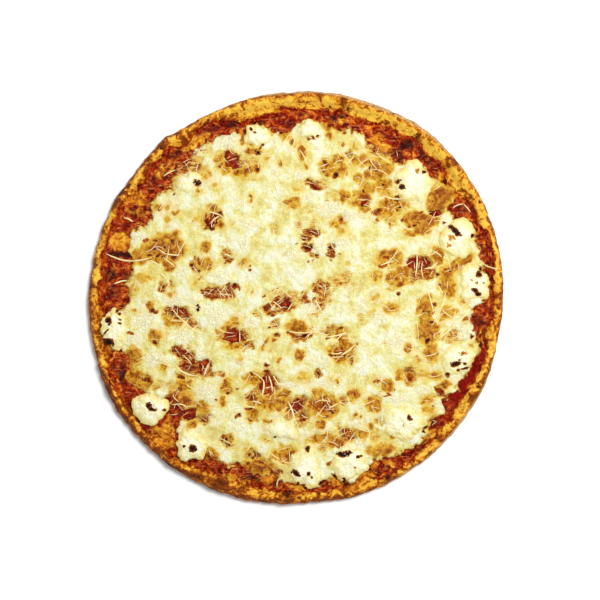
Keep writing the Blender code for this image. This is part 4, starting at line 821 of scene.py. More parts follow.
def make_sheet(name, x, y, top, kept, bottom, values, material):
    """A closed sheet: the kept cells of a square grid on top, walls down and a flat underside."""
    kept = drop_corner_contacts(kept)
    rows, columns = np.nonzero(kept)
    step = x.shape[1]
    first = rows * step + columns
    quads = np.column_stack([first, first + 1, first + 1 + step, first + step])
    used, faces = np.unique(quads, return_inverse=True)
    faces = faces.reshape(-1, 4)
    points = np.column_stack([x.ravel(), y.ravel(), top.ravel()])[used]
    taken = {key: numbers.ravel()[used] for key, numbers in values.items()}
    atlas = flat_atlas(points[:, 0], points[:, 1])
    piece = make_piece(name, points, faces.tolist(), taken, material, atlas)
    close_underneath(piece.data, bottom * MM)
    return piece


def close_underneath(mesh, bottom):
    """Drops walls from a sheet's open edges and closes it with a flat underside."""
    bm = bmesh.new()
    bm.from_mesh(mesh)
    rim = [edge for edge in bm.edges if edge.is_boundary]
    made = bmesh.ops.extrude_edge_only(bm, edges=rim)["geom"]
    for vert in made:
        if isinstance(vert, bmesh.types.BMVert):
            vert.co.z = bottom
    foot = [edge for edge in bm.edges if edge.is_boundary]
    bmesh.ops.triangle_fill(bm, use_beauty=False, edges=foot, normal=(0, 0, -1))
    bmesh.ops.recalc_face_normals(bm, faces=bm.faces)
    for face in bm.faces:
        face.smooth = True
    bm.to_mesh(mesh)
    bm.free()
    mesh.update()


def cells_where(condition):
    """Cells of a grid whose four corners all meet a condition."""
    return condition[:-1, :-1] & condition[1:, :-1] & condition[:-1, 1:] & condition[1:, 1:]


def square_grid(extent, cell):
    """Places on a square grid of these cells, this far each way from the middle."""
    line = np.arange(-extent, extent + cell, cell)
    return np.meshgrid(line, line)


# --- Materials ------------------------------------------------------------------------------------


def tint(red, green, blue):
    """A colour given in steps of 0 to 255, as the shaders want it."""
    steps = np.array((red, green, blue)) / 255
    bright = ((steps + 0.055) / 1.055) ** 2.4
    return tuple(float(v) for v in np.where(steps > 0.04045, bright, steps / 12.92))


class Recipe:
    """Builds one material's nodes, with short names for what the finishes here need."""

    def __init__(self, name):
        self.material = bpy.data.materials.new(name)
        self.material.use_nodes = True
        self.nodes = self.material.node_tree.nodes
        self.shader = self.nodes["Principled BSDF"]
        self.place = self.nodes.new("ShaderNodeTexCoord").outputs["Object"]

    def put(self, socket, value):
        """Links another node's output to a socket, or sets the socket's own value."""
        if isinstance(value, bpy.types.NodeSocket):
            self.material.node_tree.links.new(value, socket)
        else:
            socket.default_value = (*value, 1.0) if socket.type == "RGBA" else value

    def finish(self, **values):
        """Sets the shader's own sockets, such as Base_Color or Roughness."""
        for key, value in values.items():
            self.put(self.shader.inputs[key.replace("_", " ")], value)
        return self.material

    def kept(self, name):
        """A value kept at the piece's points."""
        found = self.nodes.new("ShaderNodeAttribute")
        found.attribute_name = name
        return found.outputs["Fac"]

    def reckon(self, how, a, b):
        made = self.nodes.new("ShaderNodeMath")
        made.operation = how
        self.put(made.inputs[0], a)
        self.put(made.inputs[1], b)
        return made.outputs[0]

    def sum(self, a, b):
        return self.reckon("ADD", a, b)

    def less(self, a, b):
        return self.reckon("SUBTRACT", a, b)

    def times(self, a, b):
        return self.reckon("MULTIPLY", a, b)

    def larger(self, a, b):
        return self.reckon("MAXIMUM", a, b)

    def weighed(self, a, weight_a, b, weight_b):
        """Two values added in these shares."""
        return self.sum(self.times(a, weight_a), self.times(b, weight_b))

    def grain(self, size, detail=3.0, rough=0.55, low=0.3, high=0.7, swirl=0.0, stretch=None):
        """Mottling between 0 and 1 with features of this size in millimetres."""
        texture = self.nodes.new("ShaderNodeTexNoise")
        texture.inputs["Scale"].default_value = 1 / (size * MM)
        texture.inputs["Detail"].default_value = detail
        texture.inputs["Roughness"].default_value = rough
        texture.inputs["Distortion"].default_value = swirl
        place = self.place
        if stretch:
            turned = self.nodes.new("ShaderNodeMapping")
            turned.inputs["Rotation"].default_value[2] = math.radians(stretch[0])
            turned.inputs["Scale"].default_value = (stretch[1], 1, 1)
            self.put(turned.inputs["Vector"], self.place)
            place = turned.outputs[0]
        self.put(texture.inputs["Vector"], place)
        return self.spread(texture.outputs["Fac"], low, high)

    def cells(self, size, bend=0.6):
        """How near each place is to the border between bubbles of this size: 1 is on it."""
        warp = self.nodes.new("ShaderNodeTexNoise")
        warp.inputs["Scale"].default_value = 1 / (size * MM)
        self.put(warp.inputs["Vector"], self.place)
        moved = self.nodes.new("ShaderNodeVectorMath")
        moved.operation = "MULTIPLY_ADD"
        self.put(moved.inputs[0], warp.outputs["Color"])
        moved.inputs[1].default_value = (bend * size * MM,) * 3
        self.put(moved.inputs[2], self.place)
        texture = self.nodes.new("ShaderNodeTexVoronoi")
        texture.feature = "DISTANCE_TO_EDGE"
        texture.inputs["Scale"].default_value = 1 / (size * MM)
        self.put(texture.inputs["Vector"], moved.outputs[0])
        return self.spread(texture.outputs["Distance"], 0.22, 0.0)

    def strands(self, size, detail, low, high, stretch):
        """Streaks of this width that run two ways across each other."""
        return self.larger(
            self.grain(size, detail, 0.5, low, high, stretch=(35, stretch)),
            self.grain(size, detail, 0.5, low, high, stretch=(-50, stretch)),
        )

    def spread(self, value, low, high, start=0.0, end=1.0):
        """A value taken from low..high to start..end."""
        made = self.nodes.new("ShaderNodeMapRange")
        for socket, number in zip(made.inputs, (value, low, high, start, end)):
            self.put(socket, number)
        return made.outputs[0]

    def blend(self, share, low, high):
        """A colour between two others: low at 0 and high at 1."""
        made = self.nodes.new("ShaderNodeMix")
        made.data_type = "RGBA"
        colour_sockets = [socket for socket in made.inputs if socket.type == "RGBA"]
        self.put(made.inputs[0], share)
        self.put(colour_sockets[0], low)
        self.put(colour_sockets[1], high)
        return [socket for socket in made.outputs if socket.type == "RGBA"][0]

    def ramp(self, value, *stops):
        """A colour that follows a value through stops of (value, colour)."""
        made = self.nodes.new("ShaderNodeValToRGB")
        line = made.color_ramp.elements
        for number, (at, colour) in enumerate(stops):
            stop = line[number] if number < 2 else line.new(at)
            stop.position = at
            stop.color = (*colour, 1.0)
        self.put(made.inputs[0], value)
        return made.outputs["Color"]

    def bump(self, height, depth):
        """Fine relief of this depth in millimetres."""
        made = self.nodes.new("ShaderNodeBump")
        made.inputs["Distance"].default_value = depth * MM
        self.put(made.inputs["Height"], height)
        self.put(self.shader.inputs["Normal"], made.outputs[0])


# --- Settings -------------------------------------------------------------------------------------


def colour_setting(name, description, red, green, blue):
    """A colour, its default given in steps of 0 to 255."""
    return FloatVectorProperty(
        name=name,
        description=description,
        subtype="COLOR",
        size=3,
        min=0.0,
        max=1.0,
        default=tint(red, green, blue),
    )


def length_setting(name, description, millimetres):
    """A length, its default given in millimetres."""
    return FloatProperty(
        name=name,
        description=description,
        default=millimetres * MM,
        min=0.0,
        unit="LENGTH",
        precision=5,
    )


class PizzaDoughSettings(bpy.types.PropertyGroup):
    """Baked crust."""

    crag: length_setting("Crag height", "How far the rim is blistered in and out", 0.8)
    grit: length_setting("Grit height", "How rough the baked surface is", 0.16)
    tan: colour_setting("Tan", "Pale side of the rim and the underside", 202, 162, 108)
    orange: colour_setting("Orange", "Baked top of the rim", 186, 98, 22)
    gold: colour_setting("Gold", "Brightest places on the rim", 252, 204, 74)
    brown: colour_setting("Brown", "Darker baked places", 124, 56, 10)
    char: colour_setting("Char", "Scorched places", 42, 18, 8)


class PizzaSauceSettings(bpy.types.PropertyGroup):
    """Tomato sauce."""

    dark: colour_setting("Dark red", "Thick baked sauce", 86, 4, 0)
    red: colour_setting("Red", "Most of the sauce", 140, 24, 0)
    orange: colour_setting("Orange", "Thin or oily sauce", 202, 98, 20)
    gold: colour_setting("Gold", "Sauce mixed with baked cheese", 228, 158, 38)
    burnt: colour_setting("Burnt", "Sauce that caught", 44, 10, 6)


class PizzaMeltedSettings(bpy.types.PropertyGroup):
    """Melted cheese."""

    thin: colour_setting("Thin", "Cheese that the sauce shows through", 206, 138, 54)
    lemon: colour_setting("Lemon", "Most of the melted cheese", 238, 228, 142)
    cream: colour_setting("Cream", "Thicker places", 246, 243, 182)
    gold: colour_setting("Gold", "Toasted places", 214, 154, 40)
    brown: colour_setting("Brown", "Browned places", 128, 54, 8)


class PizzaSoftSettings(bpy.types.PropertyGroup):
    """Dollops of soft cheese."""

    white: colour_setting("White", "Soft cheese", 243, 240, 210)
    # This colour is painted shade at the dollops' edges and low places, and also part of their random
    # mottling.
    ivory_and_edge_shade: colour_setting("Ivory", "Its lower and shaded places", 235, 227, 162)
    lumps: length_setting("Lump height", "How lumpy the dollops are", 0.7)


class PizzaShredSettings(bpy.types.PropertyGroup):
    """Grated shreds and scorched flecks."""

    shreds: IntProperty(
        name="Fine shreds",
        description="How many fine shreds are scattered besides the long ones",
        default=330,
        min=0,
    )
    pale: colour_setting("Pale", "Grated shreds", 250, 236, 180)
    char: colour_setting("Char", "Scorched flecks", 28, 9, 4)


class PizzaStageSettings(bpy.types.PropertyGroup):
    """Floor, light and camera."""

    view_width: length_setting("View width", "How much the camera takes in at the rim", 438.0)
    lens: FloatProperty(
        name="Lens",
        description="Focal length of the camera",
        default=80.0,
        min=1.0,
        unit="CAMERA",
    )
    lamp: FloatProperty(
        name="Lamp",
        description="Power of the large soft lamp",
        default=11.9,
        min=0.0,
        unit="POWER",
    )
    fill: FloatProperty(
        name="Fill",
        description="Brightness of the light from the walls",
        default=1.0,
        min=0.0,
    )
    ceiling: FloatProperty(
        name="Ceiling",
        description="How bright the ceiling is beside the walls",
        default=0.12,
        min=0.0,
    )
    floor: colour_setting("Floor", "The surface under the pizza", 250, 250, 250)


# --- Crust ----------------------------------------------------------------------------------------


def crust_finish(settings):
    """Blistered baked dough: tan sides, orange and gold top, scorched blisters, spotted underside."""
    recipe = Recipe("baked dough")
    coarse, fine = recipe.grain(5.0, 3, 0.55, swirl=1.2), recipe.grain(1.8, 3, 0.6, swirl=0.6)
    mottle = recipe.weighed(coarse, 0.7, fine, 0.3)
    side = recipe.ramp(
        mottle,
        (0.1, tint(150, 104, 60)),
        (0.45, settings.tan),
        (0.85, tint(226, 192, 142)),
    )
    golden = recipe.sum(mottle, recipe.spread(recipe.kept("gold"), -0.5, 1.0, -0.3, 0.18))
    baked = recipe.ramp(
        golden,
        (0.2, settings.brown),
        (0.36, settings.orange),
        (0.5, tint(232, 154, 38)),
        (0.68, settings.gold),
    )
    top = recipe.spread(recipe.sum(recipe.kept("top"), mottle), 0.5, 1.1)
    colour = recipe.blend(top, side, baked)
    smear = recipe.ramp(
        mottle,
        (0.3, tint(96, 8, 0)),
        (0.5, tint(146, 30, 4)),
        (0.64, tint(184, 78, 20)),
    )
    stain = recipe.spread(recipe.sum(recipe.kept("stain"), fine), 0.9, 1.1)
    colour = recipe.blend(stain, colour, smear)
    spots = recipe.times(recipe.kept("under"), recipe.grain(7.0, 3, 0.5, 0.52, 0.62))
    colour = recipe.blend(recipe.times(spots, 0.7), colour, settings.brown)
    # The scorch value also holds painted shade low on the outside of the rim, on the side away from the
    # lamp.
    burnt = recipe.times(recipe.kept("scorch"), recipe.spread(fine, 0.1, 0.9, 0.3, 1.2))
    burnt_colour = recipe.ramp(
        burnt, (0.15, tint(176, 96, 26)), (0.5, tint(120, 54, 14)), (0.95, settings.char)
    )
    colour = recipe.blend(recipe.spread(burnt, 0.15, 0.55), colour, burnt_colour)
    recipe.bump(recipe.sum(fine, recipe.grain(0.7, 2, 0.6)), 0.5)
    return recipe.finish(Base_Color=colour, Roughness=0.5, Specular_IOR_Level=0.06)


class PIZZA_OT_bake_crust(bpy.types.Operator):
    """Bake the thin round base with its blistered rim"""

    bl_idname = "pizza.bake_crust"
    bl_label = "Bake crust"

    underside = (0.3, 0.55, 0.75, 0.9, 0.98)

    def execute(self, context):
        settings = context.scene.pizza_dough
        angle = np.arange(RIM_STEPS)[None, :] * 360 / RIM_STEPS
        turn = np.radians(angle)
        walked, radius, up, values = self.bake_rim(angle, settings)
        shares = np.array(self.underside)[:, None]
        spread_flat = radius[:1] * 0.8
        flat = np.vstack([spread_flat * shares, spread_flat + walked])
        values = {
            key: np.pad(np.broadcast_to(numbers, radius.shape), ((len(shares), 0), (0, 0)),
                        constant_values=float(key == "under"))
            for key, numbers in values.items()
        }
        radius = np.vstack([radius[:1] * shares, radius])
        up = np.vstack([0 * shares * angle, up])
        points = np.stack([radius * np.cos(turn), radius * np.sin(turn), up], axis=-1).reshape(-1, 3)
        faces = ring_faces(*radius.shape)
        atlas = flat_atlas(flat * np.cos(turn), flat * np.sin(turn))
        piece = make_piece("baked_crust", points, faces, values, crust_finish(settings), atlas)
        self.hide_floor_in_atlas(piece.data)
        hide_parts("crust")
        return {"FINISHED"}

    def bake_rim(self, angle, settings):
        """Rings of the rim from the underside up, over the crest and down to the floor: how far
        along the section each lies, its radii, its heights and the values kept at its points."""
        section = smooth_path(RIM_SECTION, SECTION_STEPS)
        inset, height = section[:, :1], section[:, 1:]
        walked = walked_along(section)[:, None]
        turn = np.radians(angle)
        radius = dough_edge(angle) - inset
        up = height + rise_share(height) * rim_rise(angle)
        x, y = radius * np.cos(turn), radius * np.sin(turn)
        scorch = patches(x, y, RIM_SCORCH, ragged=1.6, border=0.6, layer=2.0)
        gold = patches(x, y, RIM_GOLD, ragged=1.4, border=0.6, layer=3.0)
        crag = soft_noise(x, y, CRAG_SIZE, (up + 3) / CRAG_SIZE, 3)
        grit = soft_noise(x, y, GRIT_SIZE, up / GRIT_SIZE, 2)
        out = crag * settings.crag / MM + grit * settings.grit / MM - 0.35 * scorch
        out = out * fade(walked, 1.5, 6.0) * fade(walked, walked[-1], walked[-1] - 4.0)
        leaning = np.gradient(section, axis=0)
        leaning /= np.hypot(*leaning.T)[:, None]
        radius = radius + out * leaning[:, 1:]
        up = up + out * leaning[:, :1]
        outside = fade(walked, 13.0, 10.0)
        # Low on the outside of the rim, away from the lamp: partly scorch, partly painted shade.
        foot_char_and_shade = bumps(angle, FOOT_SCORCH_AND_SHADE) * fade(up, 8.0, 4.0) * outside
        pale = 0.6 + bumps(angle, RIM_PALE)
        values = {
            "top": np.maximum(fade(inset, pale - 1.0, pale + 1.0), 1 - outside),
            "gold": (gold + bumps(angle, RIM_TONE)) * np.maximum(fade(up, 4.0, 7.0), 1 - outside)
            - 0.6 * fade(inset, 3.2, 1.0),
            "scorch": np.maximum(scorch, 0.6 * foot_char_and_shade),
            "stain": fade(sauce_inset(x, y), -3.6, 0.4) * (1 - outside),
            "under": fade(up, 1.2, 0.2),
        }
        return walked, radius, up, values

    def hide_floor_in_atlas(self, mesh):
        """The floor under the sauce is one face, the last: it gets no room in the atlas."""
        for corner in mesh.polygons[-1].loop_indices:
            mesh.uv_layers["OFBake"].data[corner].uv = (0.0, 0.0)


# --- Sauce ----------------------------------------------------------------------------------------


def sauce_finish(settings):
    """Baked tomato sauce: pulpy, glossy, darker where it caught and golden where cheese ran in."""
    recipe = Recipe("tomato sauce")
    coarse, fine = recipe.grain(8.0, 4, 0.55, swirl=2.0), recipe.grain(1.8, 3, 0.65, swirl=1.0)
    pulp = recipe.weighed(coarse, 0.75, fine, 0.25)
    body = recipe.ramp(
        pulp,
        (0.28, settings.dark),
        (0.45, settings.red),
        (0.6, tint(168, 54, 6)),
        (0.74, settings.orange),
        (0.88, tint(232, 156, 52)),
    )
    # Pale streaks across the sauce: partly strings of cheese, partly painted highlights.
    string_and_highlight_veins = recipe.strands(1.3, 2, 0.6, 0.72, 0.2)
    body = recipe.blend(recipe.times(string_and_highlight_veins, 0.55), body, tint(224, 150, 84))
    clean = recipe.ramp(pulp, (0.2, tint(104, 4, 0)), (0.8, tint(156, 22, 4)))
    colour = recipe.blend(recipe.kept("clean"), body, clean)
    golden = recipe.times(recipe.kept("golden"), recipe.spread(pulp, 0.2, 0.8, 0.4, 1.3))
    gilded = recipe.ramp(
        recipe.sum(pulp, recipe.times(recipe.cells(5.0), -0.2)),
        (0.05, tint(150, 50, 4)),
        (0.28, tint(204, 112, 18)),
        (0.58, settings.gold),
        (0.85, tint(246, 206, 84)),
    )
    colour = recipe.blend(recipe.spread(golden, 0.15, 0.45), colour, gilded)
    dark = recipe.times(recipe.kept("dark"), recipe.spread(fine, 0.1, 0.9, 0.4, 1.4))
    colour = recipe.blend(recipe.spread(dark, 0.1, 0.9), colour, settings.burnt)
    recipe.bump(recipe.sum(fine, recipe.grain(0.8, 2, 0.6)), 0.35)
    wet = recipe.spread(pulp, 0.2, 0.8, 0.1, 0.3)
    return recipe.finish(Base_Color=colour, Roughness=wet, Specular_IOR_Level=0.1)


class PIZZA_OT_spread_sauce(bpy.types.Operator):
    """Spread the tomato sauce over the floor and a little way up the rim"""

    bl_idname = "pizza.spread_sauce"
    bl_label = "Spread sauce"

    def execute(self, context):
        settings = context.scene.pizza_sauce
        x, y = square_grid(DOUGH_RADIUS, SAUCE_CELL)
        radius, angle = polar(x, y)
        inset = dough_edge(angle) - radius
        top = sauce_height(x, y)
        golden = patches(x, y, SAUCE_GOLDEN, ragged=2.0, border=0.6, layer=5.0)
        top += 0.5 * golden
        caught = list(SAUCE_DARK) + grown(GAPS, 1.0, 0.25)
        dark = patches(x, y, caught, ragged=1.6, border=0.5, layer=6.0)
        clean = np.maximum(glossy_sauce(x, y), 0.5 * patches(x, y, grown(GAPS, 2.0, 1.0)))
        values = {"golden": golden, "dark": dark, "clean": clean}
        kept = cells_where((top > dough_height(x, y) - 0.35) & (inset > CREST_INSET + 0.8))
        finish = sauce_finish(settings)
        piece = make_sheet("sauce_layer", x, y, top, kept, SAUCE_BOTTOM, values, finish)
        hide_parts("tomato_sauce")
        return {"FINISHED"}


# --- Melted cheese --------------------------------------------------------------------------------


def melted_finish(settings):
    """Melted cheese: tan and see-through where thin, lemon to cream where thick, gold and brown
    where it toasted, with painted shade between the white lumps and in small creases."""
    recipe = Recipe("melted cheese")
    coarse, middle, fine = (
        recipe.grain(11.0, 4, 0.6), recipe.grain(3.2, 3, 0.65), recipe.grain(1.0, 3, 0.75)
    )
    mottle = recipe.weighed(middle, 0.5, fine, 0.5)
    thick = recipe.kept("thick")
    strings = recipe.strands(1.1, 1, 0.3, 0.7, 0.16)
    loose = recipe.weighed(mottle, 0.7, strings, 0.5)
    loose = recipe.times(recipe.sum(loose, -0.62), recipe.spread(thick, 0.2, 0.75, 0.75, 0.25))
    veil = recipe.ramp(
        recipe.sum(thick, loose),
        (0.05, tint(112, 16, 2)),
        (0.16, tint(158, 56, 10)),
        (0.27, settings.thin),
        (0.42, tint(232, 200, 96)),
        (0.58, settings.lemon),
    )
    depth = recipe.weighed(coarse, 0.72, mottle, 0.28)
    body = recipe.ramp(
        recipe.sum(recipe.spread(depth, 0.2, 0.8), recipe.spread(thick, 0.5, 1.0, -0.2, 0.16)),
        (0.0, tint(230, 210, 122)),
        (0.2, settings.lemon),
        (0.46, settings.cream),
        (0.74, tint(252, 252, 222)),
    )
    body = recipe.blend(recipe.spread(thick, 0.4, 0.62), veil, body)
    white = recipe.spread(recipe.sum(recipe.kept("curd"), recipe.times(mottle, 0.9)), 0.68, 0.92)
    body = recipe.blend(white, body, tint(255, 251, 210))
    # Painted shade: the crevices between the white lumps are darkened to tan; the same crevices are sunk in
    # the relief below.
    shaded_crumb_crevices = recipe.times(recipe.cells(2.6), recipe.spread(white, 0.0, 1.0, 0.15, 0.6))
    body = recipe.blend(recipe.times(shaded_crumb_crevices, 0.6), body, tint(216, 184, 104))
    # Small tan spots: partly the cheese's own speckling, partly painted shade in fine creases.
    specks_and_crease_shade = recipe.grain(1.7, 1, 0.5, 0.68, 0.76)
    body = recipe.blend(recipe.times(specks_and_crease_shade, 0.45), body, tint(206, 158, 72))
    bubbles = recipe.times(recipe.cells(5.5), recipe.spread(fine, 0.0, 0.8, 0.3, 1.0))
    uneven = recipe.sum(recipe.spread(middle, 0.1, 0.9, -0.2, 0.16), recipe.times(bubbles, 0.26))
    gold = recipe.kept("gold")
    border = recipe.less(recipe.spread(gold, 0.15, 0.4), recipe.spread(gold, 0.5, 0.85))
    border = recipe.times(border, recipe.grain(6.5, 3, 0.6, 0.42, 0.7))
    uneven = recipe.sum(uneven, recipe.times(border, 0.34))
    gilded = recipe.ramp(
        recipe.weighed(gold, 0.6, uneven, recipe.spread(gold, 0.0, 0.5)),
        (0.06, tint(245, 220, 104)),
        (0.26, tint(230, 186, 62)),
        (0.48, settings.gold),
        (0.7, tint(172, 92, 10)),
        (0.92, tint(122, 50, 2)),
    )
    body = recipe.blend(recipe.spread(gold, 0.06, 0.3), body, gilded)
    pits = recipe.times(recipe.grain(2.4, 2, 0.65, 0.56, 0.68), recipe.spread(gold, 0.2, 0.6))
    body = recipe.blend(recipe.times(pits, 0.8), body, tint(124, 50, 8))
    brown = recipe.times(recipe.kept("brown"), recipe.spread(mottle, 0.2, 0.8, 0.35, 1.7))
    browned = recipe.ramp(
        brown,
        (0.08, tint(240, 202, 92)),
        (0.24, tint(212, 142, 36)),
        (0.46, tint(168, 80, 14)),
        (0.7, settings.brown),
        (0.98, tint(44, 12, 3)),
    )
    body = recipe.blend(recipe.spread(brown, 0.06, 0.24), body, browned)
    relief = recipe.less(recipe.sum(mottle, recipe.grain(0.9, 2, 0.6)), shaded_crumb_crevices)
    recipe.bump(relief, 0.65)
    return recipe.finish(
        Base_Color=body,
        Roughness=recipe.spread(mottle, 0.2, 0.8, 0.2, 0.4),
        Specular_IOR_Level=recipe.spread(thick, 0.1, 0.6, 0.08, 0.25),
        Subsurface_Weight=0.15,
        Subsurface_Radius=(0.0025, 0.0018, 0.0009),
        Subsurface_Scale=1.0,
    )


class PIZZA_OT_melt_cheese(bpy.types.Operator):
    """Melt the sheet of cheese over the sauce"""

    bl_idname = "pizza.melt_cheese"
    bl_label = "Melt cheese"

    def execute(self, context):
        settings = context.scene.pizza_melted
        x, y = square_grid(DOUGH_RADIUS - 12, CHEESE_CELL)
        share = cheese_share(x, y)
        top = cheese_height(x, y, share)
        gold = patches(x, y, TOASTED, ragged=2.0, border=0.6, layer=2.5)
        halo = patches(x, y, grown(TOASTED, 3.2, 0.22), ragged=3.6, border=0.7, layer=2.0)
        burnt = grown(FLECKS, 0.3, 0.4) + list(BROWNED)
        brown = patches(x, y, burnt, ragged=1.6, border=0.55, layer=3.5)
        top -= 0.25 * brown
        curd = curd_share(x, y)
        values = {"thick": share, "gold": np.maximum(gold, halo), "brown": brown, "curd": curd}
        kept = cells_where(
            (share > 0.02) & (top > sauce_height(x, y) - 0.3) & (dollop_share(x, y) > 0.72)
        )
        finish = melted_finish(settings)
        piece = make_sheet("melted_cheese_sheet", x, y, top, kept, SHEET_BOTTOM, values, finish)
        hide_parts("melted_cheese")
        return {"FINISHED"}


# --- Soft cheese ----------------------------------------------------------------------------------


def soft_finish(settings):
    """Soft white cheese: matt and milky, with painted yellow shade low down and at the edges, golden to
    black where it scorched.
    """
    recipe = Recipe("soft cheese")
    coarse, fine = recipe.grain(5.0, 3, 0.55), recipe.grain(1.2, 3, 0.6)
    # Painted shade: the cheese turns pale yellow, then deep yellow, towards a dollop's edge, mixed with
    # random mottling.
    low = recipe.sum(recipe.kept("edge"), recipe.spread(coarse, 0.0, 1.0, -0.2, 0.5))
    low = recipe.sum(low, recipe.spread(fine, 0.0, 1.0, -0.15, 0.15))
    colour = recipe.ramp(
        low, (0.15, settings.white), (0.55, settings.ivory_and_edge_shade), (1.0, tint(232, 208, 120))
    )
    burn = recipe.spread(recipe.sum(recipe.kept("burn"), recipe.times(fine, 0.5)), 0.45, 1.2)
    burnt = recipe.ramp(
        burn,
        (0.05, tint(250, 224, 116)),
        (0.25, tint(218, 146, 40)),
        (0.55, tint(140, 66, 16)),
        (0.9, tint(56, 18, 6)),
    )
    colour = recipe.blend(recipe.spread(burn, 0.0, 0.2), colour, burnt)
    recipe.bump(recipe.sum(coarse, recipe.sum(fine, recipe.grain(2.6, 2, 0.5))), 0.45)
    return recipe.finish(
        Base_Color=colour,
        Roughness=0.48,
        Specular_IOR_Level=0.35,
        Subsurface_Weight=0.2,
        Subsurface_Radius=(0.003, 0.0024, 0.0015),
        Subsurface_Scale=1.0,
    )


class PIZZA_OT_spoon_soft_cheese(bpy.types.Operator):
    """Spoon the dollops of soft cheese onto the sheet"""

    bl_idname = "pizza.spoon_soft_cheese"
    bl_label = "Spoon soft cheese"

    def execute(self, context):
        settings = context.scene.pizza_soft
        finish = soft_finish(settings)
        for number, row in enumerate(DOLLOPS, start=1):
            self.spoon(number, row, settings.lumps / MM, finish)
        return {"FINISHED"}

    def spoon(self, number, row, lumps, finish):
        """One dollop: a lumpy dome whose side runs down through the sheet to its foot."""
        centre_x, centre_y, half_length, half_width, heading, rise = row
        phi = np.arange(DOLLOP_SIDES) * 2 * np.pi / DOLLOP_SIDES
        power = DOLLOP_SQUARENESS
        oval = (np.abs(np.cos(phi) / half_length) ** power
                + np.abs(np.sin(phi) / half_width) ** power) ** (-1 / power)
        uneven = 1 + 0.07 * np.sin(3 * phi + 0.4 * centre_x) + 0.05 * np.sin(5 * phi + 0.7 * centre_y)
        wobble = soft_noise(1.9 * np.cos(phi), 1.9 * np.sin(phi), 1.0, number * 3.3, 4)
        spread = oval * uneven * (1 + 0.2 * wobble)
        turn = phi + math.radians(heading)
        share = np.linspace(0.03, 1, DOLLOP_RINGS)[:, None] ** 0.8
        x = centre_x + share * spread * np.cos(turn)
        y = centre_y + share * spread * np.sin(turn)
        x, y = held_within(x, y, DOLLOP_RIM_CLEARANCE)
        dome = np.clip(1 - share**2.6, 0, 1) ** 0.7 * np.ones_like(x)
        shoulder = CHEESE_BOTTOM + CHEESE_THICKNESS
        rough = soft_noise(x, y, 6.0, number, 3) + 0.9 * soft_noise(x, y, 2.4, number + 0.5, 2)
        burn = patches(x, y, grown(FLECKS, 0.2), ragged=0.8, border=0.5, layer=1.0)
        up = shoulder - 0.5 + (rise + 0.4) * dome + lumps * rough * fade(dome, 0.0, 0.5) - 0.25 * burn
        foot_x, foot_y = held_within(x[-1:], y[-1:], DOLLOP_FOOT_CLEARANCE)
        x, y = np.vstack([x, x[-1:], foot_x]), np.vstack([y, y[-1:], foot_y])
        up = np.vstack([up, up[-1:] - 0.8, 0 * foot_x + DOLLOP_BOTTOM])
        burn = np.vstack([burn, burn[-1:], 0 * foot_x])
        # edge grows from the top of the dome down to its foot; the finish paints it as shade.
        edge = np.vstack([1 - dome, np.ones_like(x[:2])])
        points = np.stack([x, y, up], axis=-1)[::-1].reshape(-1, 3)
        faces = ring_faces(*x.shape)
        values = {"burn": burn[::-1], "edge": edge[::-1]}
        piece = make_piece(f"soft_cheese_dollop_{number:02d}", points, faces, values, finish)
        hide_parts(f"soft_cheese_{number:02d}")


def held_within(x, y, clearance):
    """Places brought in to stay this far from the edge of the dough."""
    radius, angle = polar(x, y)
    share = np.minimum(1, (dough_edge(angle) - clearance) / radius)
    return x * share, y * share


# --- Shreds and flecks ----------------------------------------------------------------------------


def laid_surface():
    """A function that gives the height, in millimetres, of what is already on the pizza."""
    names = ["baked_crust", "sauce_layer", "melted_cheese_sheet"]
    names += [f"soft_cheese_dollop_{number + 1:02d}" for number in range(len(DOLLOPS))]
    missing = [name for name in names if name not in bpy.data.objects]
    if missing:
        raise RuntimeError(f"these pieces come first: {missing}")
    graph = bpy.context.evaluated_depsgraph_get()
    trees = [BVHTree.FromObject(bpy.data.objects[name], graph) for name in names]

    def height(x, y):
        start = Vector(((x - MIDDLE_X) * MM, (y - MIDDLE_Y) * MM, 0.1))
        hits = [tree.ray_cast(start, Vector((0, 0, -1)))[0] for tree in trees]
        if not any(hits):
            raise RuntimeError(f"nothing lies under ({x:.0f}, {y:.0f})")
        return max(hit.z for hit in hits if hit) / MM

    return height


def shred_finish(settings):
    """Grated shreds: pale, a little mottled, some of them toasted."""
    recipe = Recipe("grated shreds")
    mottle = recipe.grain(3.0, 2, 0.5)
    colour = recipe.blend(recipe.times(mottle, 0.6), settings.pale, tint(238, 208, 132))
    colour = recipe.blend(recipe.kept("toast"), colour, tint(214, 150, 62))
    return recipe.finish(
        Base_Color=colour,
        Roughness=0.42,
        Specular_IOR_Level=0.35,
        Subsurface_Weight=0.2,
        Subsurface_Radius=(0.0015, 0.001, 0.0006),
        Subsurface_Scale=1.0,
    )


